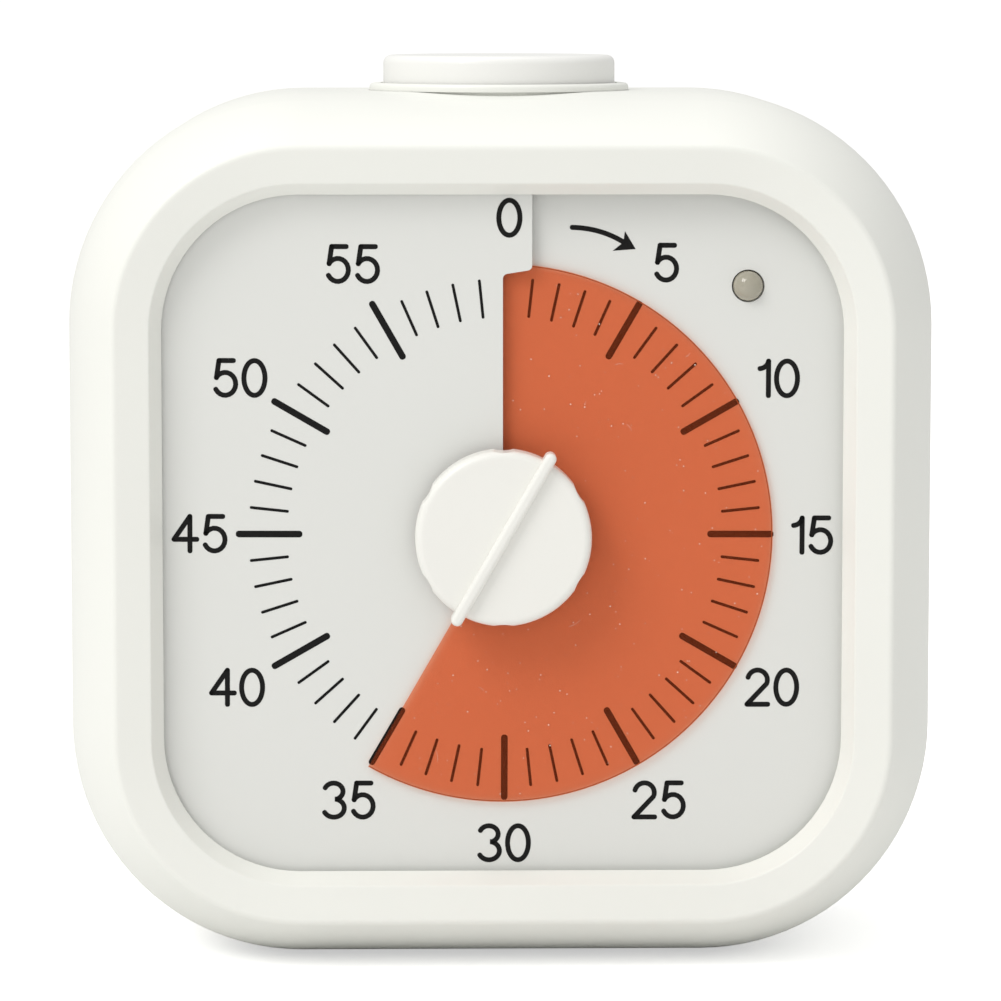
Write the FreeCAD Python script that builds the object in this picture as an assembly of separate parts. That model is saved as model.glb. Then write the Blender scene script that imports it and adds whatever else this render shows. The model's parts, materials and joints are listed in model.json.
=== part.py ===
"""Visual countdown timer: a rounded-square case, a split dial, a coloured disc and its drive.

Millimetres. X is to the right seen from the front, Y points away from the viewer and Z is up.
The origin is the centre of the flat base. Dial angles run clockwise from twelve o'clock.
"""

import FreeCAD, Part
import math
import os

V = FreeCAD.Vector

# Case
BODY_HALF = 43.0            # half width and half height at the widest section
CORE = 20.0                 # corner centres lie this far from the middle, so every outline is concentric
CREST_Y = -20.0             # front crest of the bezel
BACK_Y = 20.0               # rear face
FLARE = 5.0                 # how far the widest section stands out past the crest
SHOULDER_DEPTH = 15.0       # crest to widest section
CREST_ROUND = 0.7
BAND_WIDTH = 3.6
BAND_DROP = 0.7
LIP_WIDTH = 1.1
LIP_DROP = 2.1
LIP_LAND = 0.25
LIP_ROUND = 0.3
SEAM_Y = -11.0              # joint line between bezel and rear housing
SIDE_WALL = 2.6
BACK_WALL = 2.4
TONGUE_LENGTH = 1.6
TONGUE_THICK = 1.3
TONGUE_GAP = 0.1
BACK_ROUND = 4.0
RIB_THICK = 1.1
RIB_OVER = 0.2              # the bezel's rib reaches this far behind the carrier
CREST_WALL = 1.0
CHANNEL_RISE = 0.4
BOSS_SKIN = 0.8
BITE = 0.2                  # overlap of two forms that are joined in one
PAST = 1.0                  # a cutting form reaches this far past the face that it cuts

# Dial and film
DIAL_THICK = 0.4
SPIRAL_PITCH = 1.2          # the split dial and the film rise this much in one turn
DIAL_GAP = 0.15             # highest print surface to the bezel's shelf
SEAT_GAP = 0.05
DIAL_FIT = 0.15
SHEET_LAP = 1.3             # the sheet reaches this far behind the window's edge
DIAL_HOLE_R = 8.0
TAB_X = 2.85                # right edge of the upper layer's tab beside the zero mark
TAB_LAP = 1.0               # the tab covers this much of the film's edge
TAB_RISE = 0.45
TAB_ROUND = 0.5
TAB_SPARE_ANGLE = 4.0
FILM_MARGIN = 8.1           # film's edge to the sheet's edge
FILM_THICK = 0.2
HUB_R = 5.0
HUB_THICK = 0.3
HUB_GAP = 0.02
SHOWN_ANGLE = 210.0         # thirty-five minutes
CARRIER_THICK = 1.6
CARRIER_CLEAR = 0.5
RIM_GAP = 1.0
SECTION_STEP = 15.0

# Knob and shaft
KNOB_R = 8.6
KNOB_FRONT_GAP = 0.5
KNOB_THICK = 3.2
KNOB_ROUND = 0.8
KNOB_SKIN = 1.2
NOTCH_HALF = 1.2
NOTCH_DEPTH = 0.2
NOTCHES = 6
BAR_HALF = 9.65
BAR_WIDTH = 1.15
BAR_PROUD = 0.9
BAR_DEEP = 2.4
BAR_ROUND = 0.45
SOCKET_DROP = 0.4           # the socket ends this far short of the knob's skirt
SHAFT_R = 2.5
SHAFT_FIT = 0.06
JOURNAL_R = 1.2
KEY_WIDTH = 0.8
KEY_RISE = 0.8
KEY_FIT = 0.2
SOCKET_WALL = 1.2

# Signal lamp
LAMP_INSET_X = 10.6         # lamp to the sheet's right and top edges
LAMP_INSET_H = 10.3
LAMP_R = 1.5
LAMP_HOLE_GAP = 0.1
LAMP_PROUD = 1.15
LAMP_FLANGE_R = 1.9
LAMP_FLANGE = 1.0
LAMP_FIT = 0.05
HOLDER_WALL = 1.1
HOLDER_LIP = 0.8
LAMP_LEG = 0.5
LAMP_LEG_PITCH = 2.54

# Movement
MODULE = 0.5
TOOTH_TIP = 0.7             # height over the pitch circle, in modules
TOOTH_SHARES = (0.30, 0.11) # half width at the root and at the tip, as a share of the pitch
OUT_TEETH = 48
IDLER_PINION_TEETH = 12
IDLER_TEETH = 40
ROTOR_TEETH = 10
WHEEL_THICK = 1.1
PINION_EXTRA = 0.25
OUT_GAP = 0.7
IDLER_GAP = 0.8
STATOR_LIFT = 1.2
ARBOR_PLAY = 0.2
PLATE_GAP = 1.0
PLATE_THICK = 1.2
COVER_DEPTH = 9.4
COVER_WALL = 1.0
CASE_LEFT = -19.5
CASE_RIGHT = 15.5
CASE_LOW = -15.5
CASE_HIGH = 27.5
ARBOR_R = 0.6
ROTOR_ARBOR_R = 0.4
PIVOT_FIT = 0.05
MAGNET_R = 2.6
MAGNET_THICK = 2.4
STATOR_THICK = 0.8
STATOR_GAP = 0.7
COIL_R = 2.8
BOBBIN_R = 1.4
BOBBIN_IN = 1.0
FLANGE_RISE = 0.2
FLANGE_THICK = 0.8
CORE_FIT = 0.02
COIL_ROOM = 1.1
STATOR_BAR = 1.8
CORE_BAR_R = 1.0
COIL_LOW = -10.5
COIL_HIGH = 8.5

# Board and switches
BOARD_GAP = 1.2
BOARD_THICK = 1.6
BOARD_HALF = 27.0
BOARD_LOW = -16.0
BOARD_HEADROOM = 12.0       # board's top edge to the case's top
CHIP = (-11.0, -4.0, 4.0, 3.0, 1.4)     # x, height, two half sizes and thickness
CRYSTAL_R = 1.1
CRYSTAL_LENGTH = 6.0
CRYSTAL_X = -22.0
CRYSTAL_H = -9.0
CRYSTAL_ROUND = 0.4
CAPACITOR_R = 2.5
CAPACITOR_TALL = 5.5
CAPACITOR_X = 20.0
CAPACITOR_H = -8.0
PIN_R = 0.35
SWITCH_HALF = 3.0
SWITCH_DEEP = 4.4
SWITCH_TALL = 3.5
SWITCH_STEM_R = 1.25
SWITCH_STEM_UP = 1.8
SWITCH_STEM_IN = 1.2
SWITCH_STEM_FIT = 0.1
SWITCH_DROP = 0.5           # switch's top below the board's edge

# Alarm button
BUTTON_Y = 4.0
CAP_R = 11.7
CAP_ABOVE = 2.8
CAP_WALL = 1.2
CAP_ROUND = 0.8
CAP_SKIRT = 6.0
BUTTON_TRAVEL = 1.2
COLLAR_R = 13.1
COLLAR_THICK = 1.3
COLLAR_SEAT = 0.55          # the flange sits this deep in the case's top
COLLAR_FIT = 0.1
COLLAR_TUBE_R = 12.7
COLLAR_GAP = 0.3
COLLAR_DEPTH = 7.0
COLLAR_FLOOR = 1.2
COLLAR_ROUND = 0.4
POST_R = 2.0
POST_FIT = 0.1
CLIP_R = 3.2
CLIP_THICK = 0.6
CLIP_GAP = 0.2
SPRING_R = 4.5
SPRING_WIRE_R = 0.3
SPRING_COIL_COUNT = 5
SPRING_PLAY = 0.05

# Battery
CELL_R = 7.25
CELL_LENGTH = 50.5
CELL_NUB = 1.3
CELL_NUB_R = 2.75
CELL_ROUND = 0.6
CRADLE_LIFT = 3.35          # cradle's underside above the case's inner floor
CELL_GAP = 0.3
CRADLE_WALL = 1.0
CRADLE_END = 1.4
CONTACT_THICK = 0.4
CONTACT_HALF = 4.5
CONTACT_LAP = 3.0           # the contacts reach this far up the board
CONTACT_FIT = 0.02
CELL_PLAY = 0.15
SPRING_REACH = 1.5
CONE_R = (4.0, 2.6)
CONE_WALL = 0.8
DOOR_GAP = 0.3
DOOR_THICK = 1.6
DOOR_RIB = 1.0
DOOR_ROUND = 0.4
DOOR_SIDE = 0.5
DOOR_EDGE = 0.35
DOOR_RIB_PITCH = 16.0
DOOR_RIB_HALF = 5.0
GRIP_HALF = 6.0
GRIP_DEPTH = 0.7
GRIP_LOW = 3.6
GRIP_HIGH = 5.0

# Buzzer and volume switch
BUZZER_X = 15.0
BUZZER_H = 12.0
BUZZER_R = 10.0
BUZZER_DEEP = 4.6
BUZZER_WALL = 0.8
BUZZER_LEDGE = 0.96
BUZZER_FIT = 0.1
SOUNDER_THICK = 0.4
BUZZER_PIN = 3.0
SOUND_HOLE_R = 0.8
SOUND_RINGS = ((0.0, 1), (3.6, 6), (7.0, 12))
SLIDER_X = -19.5
SLIDER_H = 12.0
SLIDER_HALF = 1.5
SLIDER_TRAVEL = 3.0
SLIDER_PROUD = 0.8
SLIDE_FIT = 0.4
SLIDER_IN = 1.6
SLIDER_RIDGE = 0.75
SLIDER_GROOVE = 0.3
VOLUME_WALL = 1.2
VOLUME_DEEP = 5.0
VOLUME_POCKET = 2.0
VOLUME_PINS = (-0.5, 1.5, 3.5)

# Screws
SCREW_INSET = 3.6           # case screws in from the inner wall, on the corner's diagonal
CASE_SCREW_R = 1.1
CASE_HEAD_R = 2.2
CASE_HEAD = 1.6
CASE_SEAT_Y = 2.0
BOSS_R = 2.0
WELL_WALL = 0.8
WELL_FIT = 0.2
WELL_ROOT = 0.5
SMALL_SCREW_R = 0.95
SMALL_HEAD_R = 1.8
SMALL_HEAD = 1.0
SCREW_FIT = 0.03
SCREW_PASS = 0.1            # clearance hole over the small screws
SCREW_TIP = 1.0
SMALL_POST = 0.95           # wall round a small screw
BOARD_POST = 4.0
TIP_ROOM = 0.6
HEAD_CROSS = (0.6, 0.13, 0.45)
MOVEMENT_SCREW_EDGE = 3.0
BOARD_SCREWS = ((5.0, -12.0), (-2.0, 24.0), (10.0, 6.0))

# Places worked out from the sizes above
MID = BODY_HALF
CREST_HALF = BODY_HALF - FLARE
SHOULDER_R = (FLARE ** 2 + SHOULDER_DEPTH ** 2) / (2 * FLARE)
WIDE_Y = CREST_Y + SHOULDER_DEPTH
BAND_HALF = CREST_HALF - BAND_WIDTH
WINDOW_HALF = BAND_HALF - LIP_WIDTH
WINDOW_Y = CREST_Y + BAND_DROP + LIP_DROP
SHELF_Y = WINDOW_Y + LIP_LAND
DIAL_END_Y = SHELF_Y + DIAL_GAP + DIAL_THICK / 2
DIAL_START_Y = DIAL_END_Y + SPIRAL_PITCH
DIAL_HALF = WINDOW_HALF + SHEET_LAP
FILM_R = DIAL_HALF - FILM_MARGIN
TAB_LOW = FILM_R - TAB_LAP
RIM_R = FILM_R + RIM_GAP
LAMP_X = DIAL_HALF - LAMP_INSET_X
LAMP_H = DIAL_HALF - LAMP_INSET_H
CUT_LOW = DIAL_END_Y - 3 * PAST
CUT_HIGH = DIAL_START_Y + 3 * PAST
RIB_HALF = DIAL_HALF + DIAL_FIT
CARRIER_Y = DIAL_START_Y + SPIRAL_PITCH / 2 + FILM_THICK / 2 + CARRIER_CLEAR
CARRIER_BACK = CARRIER_Y + CARRIER_THICK
INNER_HALF = BODY_HALF - SIDE_WALL
INNER_BACK = BACK_Y - BACK_WALL
KNOB_BACK = DIAL_END_Y - SPIRAL_PITCH / 2 - FILM_THICK / 2 - KNOB_FRONT_GAP
KNOB_FACE = KNOB_BACK - KNOB_THICK
PLATE_Y = CARRIER_BACK + PLATE_GAP
COVER_Y = PLATE_Y + PLATE_THICK
COVER_BACK = COVER_Y + COVER_DEPTH
BOARD_Y = COVER_BACK + BOARD_GAP
BOARD_BACK = BOARD_Y + BOARD_THICK
OUT_Y = COVER_Y + OUT_GAP
IDLER_Y = OUT_Y + WHEEL_THICK + IDLER_GAP
STATOR_Y = IDLER_Y + WHEEL_THICK + STATOR_LIFT
IDLER_H = MODULE * (OUT_TEETH + IDLER_PINION_TEETH) / 2
ROTOR_X = -MODULE * (IDLER_TEETH + ROTOR_TEETH) / 2
BODY_TOP = 2 * BODY_HALF
SEAT_Z = BODY_TOP - COLLAR_SEAT
COLLAR_TOP = SEAT_Z + COLLAR_THICK
CAP_TOP = COLLAR_TOP + CAP_ABOVE
FLOOR_TOP = BODY_TOP - COLLAR_DEPTH + COLLAR_FLOOR
BOARD_HIGH = BODY_HALF - BOARD_HEADROOM
SWITCH_TOP = MID + BOARD_HIGH - SWITCH_DROP
STEM_TOP = SWITCH_TOP + SWITCH_STEM_UP
CELL_Y = BOARD_BACK + CELL_R + CELL_GAP
CONTACT_X = CELL_LENGTH / 2 + SPRING_REACH / 2 + CELL_PLAY
CELL_H = CELL_R + CELL_GAP + CRADLE_WALL + CRADLE_LIFT - INNER_HALF
CASE_SCREW_OFF = CORE + (INNER_HALF - CORE - SCREW_INSET) * math.sqrt(0.5)
MOVEMENT_SCREWS = ((CASE_RIGHT - MOVEMENT_SCREW_EDGE, CASE_LOW + MOVEMENT_SCREW_EDGE),
                   (CASE_RIGHT - MOVEMENT_SCREW_EDGE, CASE_HIGH - MOVEMENT_SCREW_EDGE),
                   (CASE_LEFT + MOVEMENT_SCREW_EDGE, CASE_HIGH - MOVEMENT_SCREW_EDGE))


def outline(start, *steps):
    """Closed wire through (half, y) pairs; a step of four numbers is an arc through its first pair."""
    def point(half, y):
        return V(half, y, 0)
    edges, last = [], point(*start)
    for step in steps + (start,):
        end = point(*step[-2:])
        if end.distanceToPoint(last) < 1e-6:
            continue
        if len(step) == 4:
            edges.append(Part.Arc(last, point(*step[:2]), end).toShape())
        else:
            edges.append(Part.LineSegment(last, end).toShape())
        last = end
    return Part.Wire(edges)


def rounded(before, corner, after, radius):
    """In point, middle and out point of an arc that rounds one corner of an outline."""
    a = V(before[0] - corner[0], before[1] - corner[1], 0).normalize()
    b = V(after[0] - corner[0], after[1] - corner[1], 0).normalize()
    half_angle = a.getAngle(b) / 2
    tip = V(corner[0], corner[1], 0)
    reach = radius / math.tan(half_angle)
    way = (a + b).normalize()
    middle = tip + way * (radius / math.sin(half_angle) - radius)
    start, end = tip + a * reach, tip + b * reach
    return (start.x, start.y), (middle.x, middle.y, end.x, end.y)


def carried_round(wire, has_core=None):
    """Solid made by carrying a (half, y) outline round the rounded square."""
    face = Part.Face(wire)
    side = face.translated(V(0, 0, MID - CORE)).extrude(V(0, 0, 2 * CORE))
    corner = face.translated(V(0, 0, MID + CORE)).revolve(V(CORE, 0, MID + CORE), V(0, -1, 0), 90)
    pieces = []
    for turn in range(4):
        for part in (side, corner):
            copy = part.copy()
            copy.rotate(V(0, 0, MID), V(0, 1, 0), 90 * turn)
            pieces.append(copy)
    if has_core:
        pieces.append(block(-CORE, CORE, has_core[0], has_core[1], -CORE, CORE))
    return pieces[0].fuse(pieces[1:]).removeSplitter()


def block(x0, x1, y0, y1, h0, h1):
    """Box; heights are from the middle of the case."""
    return Part.makeBox(x1 - x0, y1 - y0, h1 - h0, V(x0, y0, MID + h0))


def disc(radius, y0, y1, x=0.0, h=0.0):
    """Cylinder that lies along Y."""
    return Part.makeCylinder(radius, y1 - y0, V(x, y0, MID + h), V(0, 1, 0))


def upright(radius, z0, z1, x=0.0, y=BUTTON_Y):
    """Cylinder that stands along Z."""
    return Part.makeCylinder(radius, z1 - z0, V(x, y, z0))


def rounded_square(half, y0, y1):
    """Plate with the case's concentric corners."""
    plate = block(-half, half, y0, y1, -half, half)
    corners = [e for e in plate.Edges if abs(e.tangentAt(e.FirstParameter).y) > 0.9]
    return plate.makeFillet(half - CORE, corners)


def turned(wire):
    """Solid of revolution about the dial's axis, from an outline of (radius, y)."""
    return Part.Face(wire).translated(V(0, 0, MID)).revolve(V(0, 0, MID), V(0, 1, 0), 360)


def turned_upright(wire):
    """Solid of revolution about the button's axis, from an outline of (radius, z)."""
    face = Part.Face(wire)
    face.rotate(V(0, 0, 0), V(1, 0, 0), 90)
    face.translate(V(0, BUTTON_Y, 0))
    return face.revolve(V(0, BUTTON_Y, 0), V(0, 0, 1), 360)


def at_angle(radius, angle, y):
    """Point at a dial angle."""
    a = math.radians(angle)
    return V(radius * math.sin(a), y, MID + radius * math.cos(a))


def dial_y(angle):
    """Middle of the dial's thickness, which rises towards the viewer clockwise."""
    return DIAL_START_Y - SPIRAL_PITCH * angle / 360


def ramp(start, end, front, back, r_in, r_out):
    """Spiral sheet between two heights that depend on the angle."""
    count = max(2, math.ceil((end - start) / SECTION_STEP))
    sections = []
    for step in range(count + 1):
        angle = start + (end - start) * step / count
        corners = [at_angle(r_in, angle, front(angle)), at_angle(r_out, angle, front(angle)),
                   at_angle(r_out, angle, back(angle)), at_angle(r_in, angle, back(angle))]
        sections.append(Part.makePolygon(corners + corners[:1]))
    return Part.makeLoft(sections, True, True)


def gear(teeth, y0, y1, x, h, phase, bore):
    """Spur wheel with slim straight-sided teeth; phase is the angle of one tooth."""
    pitch_r, step = MODULE * teeth / 2, 360 / teeth
    root, tip = pitch_r - MODULE, pitch_r + TOOTH_TIP * MODULE
    wide, slim = TOOTH_SHARES
    points = []
    for tooth in range(teeth):
        middle = phase + step * tooth
        for radius, share in ((root, -wide), (tip, -slim), (tip, slim), (root, wide)):
            points.append(at_angle(radius, middle + share * step, y0))
    wheel = Part.Face(Part.makePolygon(points + points[:1])).extrude(V(0, y1 - y0, 0))
    wheel.translate(V(x, 0, h))
    return wheel.cut(disc(bore, y0 - 1, y1 + 1, x, h))


def shoulder_half(y):
    """Half size of the case at a depth on the flared shoulder."""
    return BODY_HALF - SHOULDER_R + math.sqrt(SHOULDER_R ** 2 - (y - WIDE_Y) ** 2)


def keyed_hole(y0, y1):
    """Round hole with two key slots that slides on the shaft."""
    hole = disc(SHAFT_R + KEY_FIT, y0, y1)
    half = KEY_WIDTH / 2 + KEY_FIT
    reach = SHAFT_R + KEY_RISE + KEY_FIT
    slot = block(-half, half, y0, y1, -reach, reach)
    slot.rotate(V(0, 0, MID), V(0, 1, 0), SHOWN_ANGLE)
    return hole.fuse(slot)


def screw(radius, head_r, head, y_seat, y_tip, x, h):
    """Pan-head screw that points forwards, with a cross recess in its head."""
    body = disc(radius, y_tip, y_seat, x, h).fuse(disc(head_r, y_seat, y_seat + head, x, h))
    arm, half = head_r * HEAD_CROSS[0], head_r * HEAD_CROSS[1]
    deep = y_seat + head * HEAD_CROSS[2]
    body = body.cut(block(x - arm, x + arm, deep, y_seat + head + PAST, h - half, h + half))
    return body.cut(block(x - half, x + half, deep, y_seat + head + PAST, h - arm, h + arm))


def case_screw_places():
    """The four case screws, near the corners."""
    return [(sx * CASE_SCREW_OFF, sh * CASE_SCREW_OFF) for sx in (-1, 1) for sh in (-1, 1)]


def front_bezel():
    """Ring with a flared shoulder, a sloping band and a lip round the window."""
    crest, band = (CREST_HALF, CREST_Y), (BAND_HALF, CREST_Y + BAND_DROP)
    window = (WINDOW_HALF, WINDOW_Y)
    tangent = math.asin(SHOULDER_DEPTH / SHOULDER_R)
    slope = (CREST_HALF + math.sin(tangent), CREST_Y + math.cos(tangent))
    band_in, band_arc = rounded(window, band, crest, LIP_ROUND)
    crest_in, crest_arc = rounded(band, crest, slope, CREST_ROUND)
    middle_y = (crest_arc[3] + SEAM_Y) / 2
    tongue_out = INNER_HALF - TONGUE_GAP
    tongue_in = tongue_out - TONGUE_THICK
    channel_y = WINDOW_Y - CHANNEL_RISE
    wire = outline(
        window, band_in, band_arc, crest_in, crest_arc,
        (shoulder_half(middle_y), middle_y, shoulder_half(SEAM_Y), SEAM_Y),
        (tongue_out, SEAM_Y), (tongue_out, SEAM_Y + TONGUE_LENGTH),
        (tongue_in, SEAM_Y + TONGUE_LENGTH), (tongue_in, SEAM_Y - TONGUE_LENGTH),
        (CREST_HALF - CREST_WALL, channel_y), (RIB_HALF + RIB_THICK, channel_y),
        (RIB_HALF + RIB_THICK, CARRIER_BACK + RIB_OVER), (RIB_HALF, CARRIER_BACK + RIB_OVER),
        (RIB_HALF, SHELF_Y), (WINDOW_HALF, SHELF_Y))
    bezel = carried_round(wire)
    for x, h in case_screw_places():
        bezel = bezel.fuse(disc(BOSS_R, channel_y - BITE, SEAM_Y + TONGUE_LENGTH, x, h))
    for x, h in case_screw_places():
        bezel = bezel.cut(disc(CASE_SCREW_R + SCREW_FIT, channel_y + BOSS_SKIN, SEAM_Y + TONGUE_LENGTH, x, h))
    return bezel.removeSplitter()


def rear_housing():
    """Deep tub with the flat base, the battery opening, screw wells, slot and sound holes."""
    inner_round = BACK_ROUND - BACK_WALL
    back = (BODY_HALF, BACK_Y)
    back_in, back_arc = rounded((BODY_HALF, WIDE_Y), back, (CORE, BACK_Y), BACK_ROUND)
    in_start, in_arc = rounded((CORE, INNER_BACK), (INNER_HALF, INNER_BACK), (INNER_HALF, SEAM_Y),
                              inner_round)
    middle_y = (SEAM_Y + WIDE_Y) / 2
    wire = outline(
        (shoulder_half(SEAM_Y), SEAM_Y), (shoulder_half(middle_y), middle_y, BODY_HALF, WIDE_Y),
        back_in, back_arc, (CORE, BACK_Y), (CORE, INNER_BACK), in_start, in_arc,
        (INNER_HALF, SEAM_Y))
    shell = carried_round(wire, (INNER_BACK, BACK_Y))
    well_r = CASE_HEAD_R + WELL_FIT
    well_y = SEAM_Y + TONGUE_LENGTH + WELL_FIT
    for x, h in case_screw_places():
        shell = shell.fuse(disc(well_r + WELL_WALL, well_y, INNER_BACK + WELL_ROOT, x, h))
    cuts = [upright(COLLAR_TUBE_R + COLLAR_FIT, BODY_TOP - COLLAR_DEPTH, BODY_TOP + PAST),
            upright(COLLAR_R + COLLAR_FIT, SEAT_Z, BODY_TOP + PAST)]
    for x, h in case_screw_places():
        cuts.append(disc(CASE_SCREW_R + WELL_FIT, SEAM_Y - PAST, CASE_SEAT_Y + PAST, x, h))
        cuts.append(disc(well_r, CASE_SEAT_Y, BACK_Y + PAST, x, h))
    cuts.append(door_block(0.0, INNER_BACK - PAST, BACK_Y + PAST))
    for radius, count in SOUND_RINGS:
        for step in range(count):
            a = 2 * math.pi * step / count
            cuts.append(disc(SOUND_HOLE_R, INNER_BACK - PAST, BACK_Y + PAST,
                             BUZZER_X + radius * math.sin(a), BUZZER_H + radius * math.cos(a)))
    cuts.append(slot_block(INNER_BACK - PAST, BACK_Y + PAST))
    return shell.cut(cuts).removeSplitter()


def door_block(inset, y0, y1):
    """The battery opening's rectangle, drawn in by an inset."""
    half_x = CONTACT_X + CONTACT_THICK + CRADLE_END + DOOR_SIDE - inset
    half_h = CELL_R + CELL_GAP + DOOR_EDGE - inset
    return block(-half_x, half_x, y0, y1, CELL_H - half_h, CELL_H + half_h)


def slot_block(y0, y1):
    """The slot that the volume slider runs in."""
    return block(SLIDER_X - SLIDER_HALF - SLIDE_FIT, SLIDER_X + SLIDER_HALF + SLIDER_TRAVEL + SLIDE_FIT,
                 y0, y1, SLIDER_H - SLIDER_HALF, SLIDER_H + SLIDER_HALF)


def dial_sheet():
    """Printed sheet, slit at zero, wound as one turn of a shallow spiral with a tab over the zero."""
    tab_turn = math.degrees(math.atan2(TAB_X, TAB_LOW)) + TAB_SPARE_ANGLE
    half = DIAL_THICK / 2
    far = 2 * DIAL_HALF
    sheet = ramp(0, 360 + tab_turn, lambda a: dial_y(a) - half, lambda a: dial_y(a) + half, 1.0, far)
    sheet = sheet.common(rounded_square(DIAL_HALF, CUT_LOW, CUT_HIGH))
    sheet = sheet.cut(disc(DIAL_HOLE_R, CUT_LOW, CUT_HIGH))
    split_y = (DIAL_START_Y + DIAL_END_Y) / 2
    slit_end, tab_end = (0, TAB_LOW), (TAB_X, TAB_LOW + TAB_RISE)
    slit_in, slit_arc = rounded((0, 0), slit_end, tab_end, TAB_ROUND)
    tab_in, tab_arc = rounded(slit_end, tab_end, (TAB_X, far), TAB_ROUND)
    wire = outline((0, 0), slit_in, slit_arc, tab_in, tab_arc, (TAB_X, far), (far, far), (far, 0))
    waste = Part.Face(wire)
    waste.rotate(V(0, 0, 0), V(1, 0, 0), 90)
    waste.translate(V(0, CUT_LOW, MID))
    sheet = sheet.cut(waste.extrude(V(0, split_y - CUT_LOW, 0)))
    return sheet.cut(disc(LAMP_R + LAMP_HOLE_GAP, CUT_LOW, CUT_HIGH, LAMP_X, LAMP_H))


def dial_carrier():
    """Moulded plate behind the dial, whose spiral rim holds the sheet clear of the film."""
    def top(angle):
        return dial_y(angle) + DIAL_THICK / 2 + SEAT_GAP
    def foot(angle):
        return CARRIER_Y + CARRIER_THICK / 2
    far = 2 * DIAL_HALF
    rim = ramp(0, 180, top, foot, 1.0, far).fuse(ramp(180, 360, top, foot, 1.0, far))
    rim = rim.common(rounded_square(DIAL_HALF, CUT_LOW, CARRIER_BACK))
    rim = rim.cut(disc(RIM_R, CUT_LOW, CARRIER_BACK + PAST))
    plate = rounded_square(DIAL_HALF, CARRIER_Y, CARRIER_BACK)
    plate = plate.fuse([rim, disc(2 * SHAFT_R, CARRIER_BACK - BITE, PLATE_Y - WELL_FIT)])
    for x, h in MOVEMENT_SCREWS:
        plate = plate.fuse(disc(SMALL_SCREW_R + SMALL_POST, CARRIER_BACK - BITE, PLATE_Y, x, h))
    cuts = [disc(SHAFT_R + SHAFT_FIT, CARRIER_Y - PAST, PLATE_Y + PAST)]
    for x, h in MOVEMENT_SCREWS:
        cuts.append(disc(SMALL_SCREW_R + SCREW_FIT, CARRIER_Y + TIP_ROOM / 2, PLATE_Y + PAST, x, h))
    cuts.append(disc(LAMP_R + LAMP_HOLE_GAP / 2, CUT_LOW, PLATE_Y, LAMP_X, LAMP_H))
    return plate.cut(cuts).removeSplitter()


def film_sheet(front, back, radius):
    """One turn of spiral film whose leading edge stands at the set time."""
    middle = SPIRAL_PITCH / 2
    sheet = ramp(SHOWN_ANGLE - 360, SHOWN_ANGLE, lambda a: dial_y(a) - middle + front,
                 lambda a: dial_y(a) - middle + back, 1.0, 2 * FILM_R)
    sheet = sheet.common(disc(radius, CUT_LOW, CUT_HIGH))
    return sheet.cut(keyed_hole(CUT_LOW, CUT_HIGH))


def time_film():
    """Translucent disc with one radial cut, which passes through the dial's slit."""
    return film_sheet(-FILM_THICK / 2, FILM_THICK / 2, FILM_R)


def film_hub():
    """Stiffening ring on the film's front, keyed to the shaft."""
    face = -FILM_THICK / 2 - HUB_GAP
    return film_sheet(face - HUB_THICK, face, HUB_R)


def setting_knob():
    """Round knob with a rounded rim, small rim notches and one straight bar across its face."""
    rim_in, rim_arc = rounded((KNOB_R, KNOB_BACK), (KNOB_R, KNOB_FACE), (0, KNOB_FACE), KNOB_ROUND)
    inner = KNOB_R - KNOB_SKIN
    socket = SHAFT_R + SOCKET_WALL
    wire = outline((0, KNOB_BACK - SOCKET_DROP), (socket, KNOB_BACK - SOCKET_DROP), (socket, KNOB_FACE + KNOB_SKIN),
                   (inner, KNOB_FACE + KNOB_SKIN), (inner, KNOB_BACK), (KNOB_R, KNOB_BACK),
                   rim_in, rim_arc, (0, KNOB_FACE))
    knob = turned(wire)
    notch_r = (NOTCH_HALF ** 2 + NOTCH_DEPTH ** 2) / (2 * NOTCH_DEPTH)
    for step in range(NOTCHES):
        spot = at_angle(KNOB_R + notch_r - NOTCH_DEPTH, 360 * step / NOTCHES, 0)
        knob = knob.cut(disc(notch_r, KNOB_FACE - PAST, KNOB_BACK + PAST, spot.x, spot.z - MID))
    half = BAR_WIDTH / 2
    bar_y0, bar_y1 = KNOB_FACE - BAR_PROUD, KNOB_FACE - BAR_PROUD + BAR_DEEP
    bar = block(-half, half, bar_y0, bar_y1, half - BAR_HALF, BAR_HALF - half)
    bar = bar.fuse([disc(half, bar_y0, bar_y1, 0, BAR_HALF - half),
                    disc(half, bar_y0, bar_y1, 0, half - BAR_HALF)]).removeSplitter()
    bar = bar.makeFillet(BAR_ROUND, [e for e in bar.Edges if e.BoundBox.YMax < bar_y0 + 0.01])
    cavity = disc(inner, KNOB_FACE + KNOB_SKIN, KNOB_BACK + PAST)
    bar.rotate(V(0, 0, MID), V(0, 1, 0), SHOWN_ANGLE)
    knob = knob.fuse(bar.cut(cavity)).removeSplitter()
    return knob.cut(disc(SHAFT_R, KNOB_FACE + KNOB_SKIN, KNOB_BACK + PAST))


def knob_shaft():
    """Stepped shaft with two keys for the film and a slim journal in the movement."""
    step_y = OUT_Y + WHEEL_THICK + ARBOR_PLAY
    shaft = disc(SHAFT_R, KNOB_FACE + KNOB_SKIN, step_y)
    key_half, reach = KEY_WIDTH / 2, SHAFT_R + KEY_RISE
    keys = block(-key_half, key_half, KNOB_BACK - BITE, CARRIER_Y - BITE, -reach, reach)
    keys.rotate(V(0, 0, MID), V(0, 1, 0), SHOWN_ANGLE)
    return shaft.fuse([keys, disc(JOURNAL_R, step_y, COVER_BACK - ARBOR_PLAY)]).removeSplitter()


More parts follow.
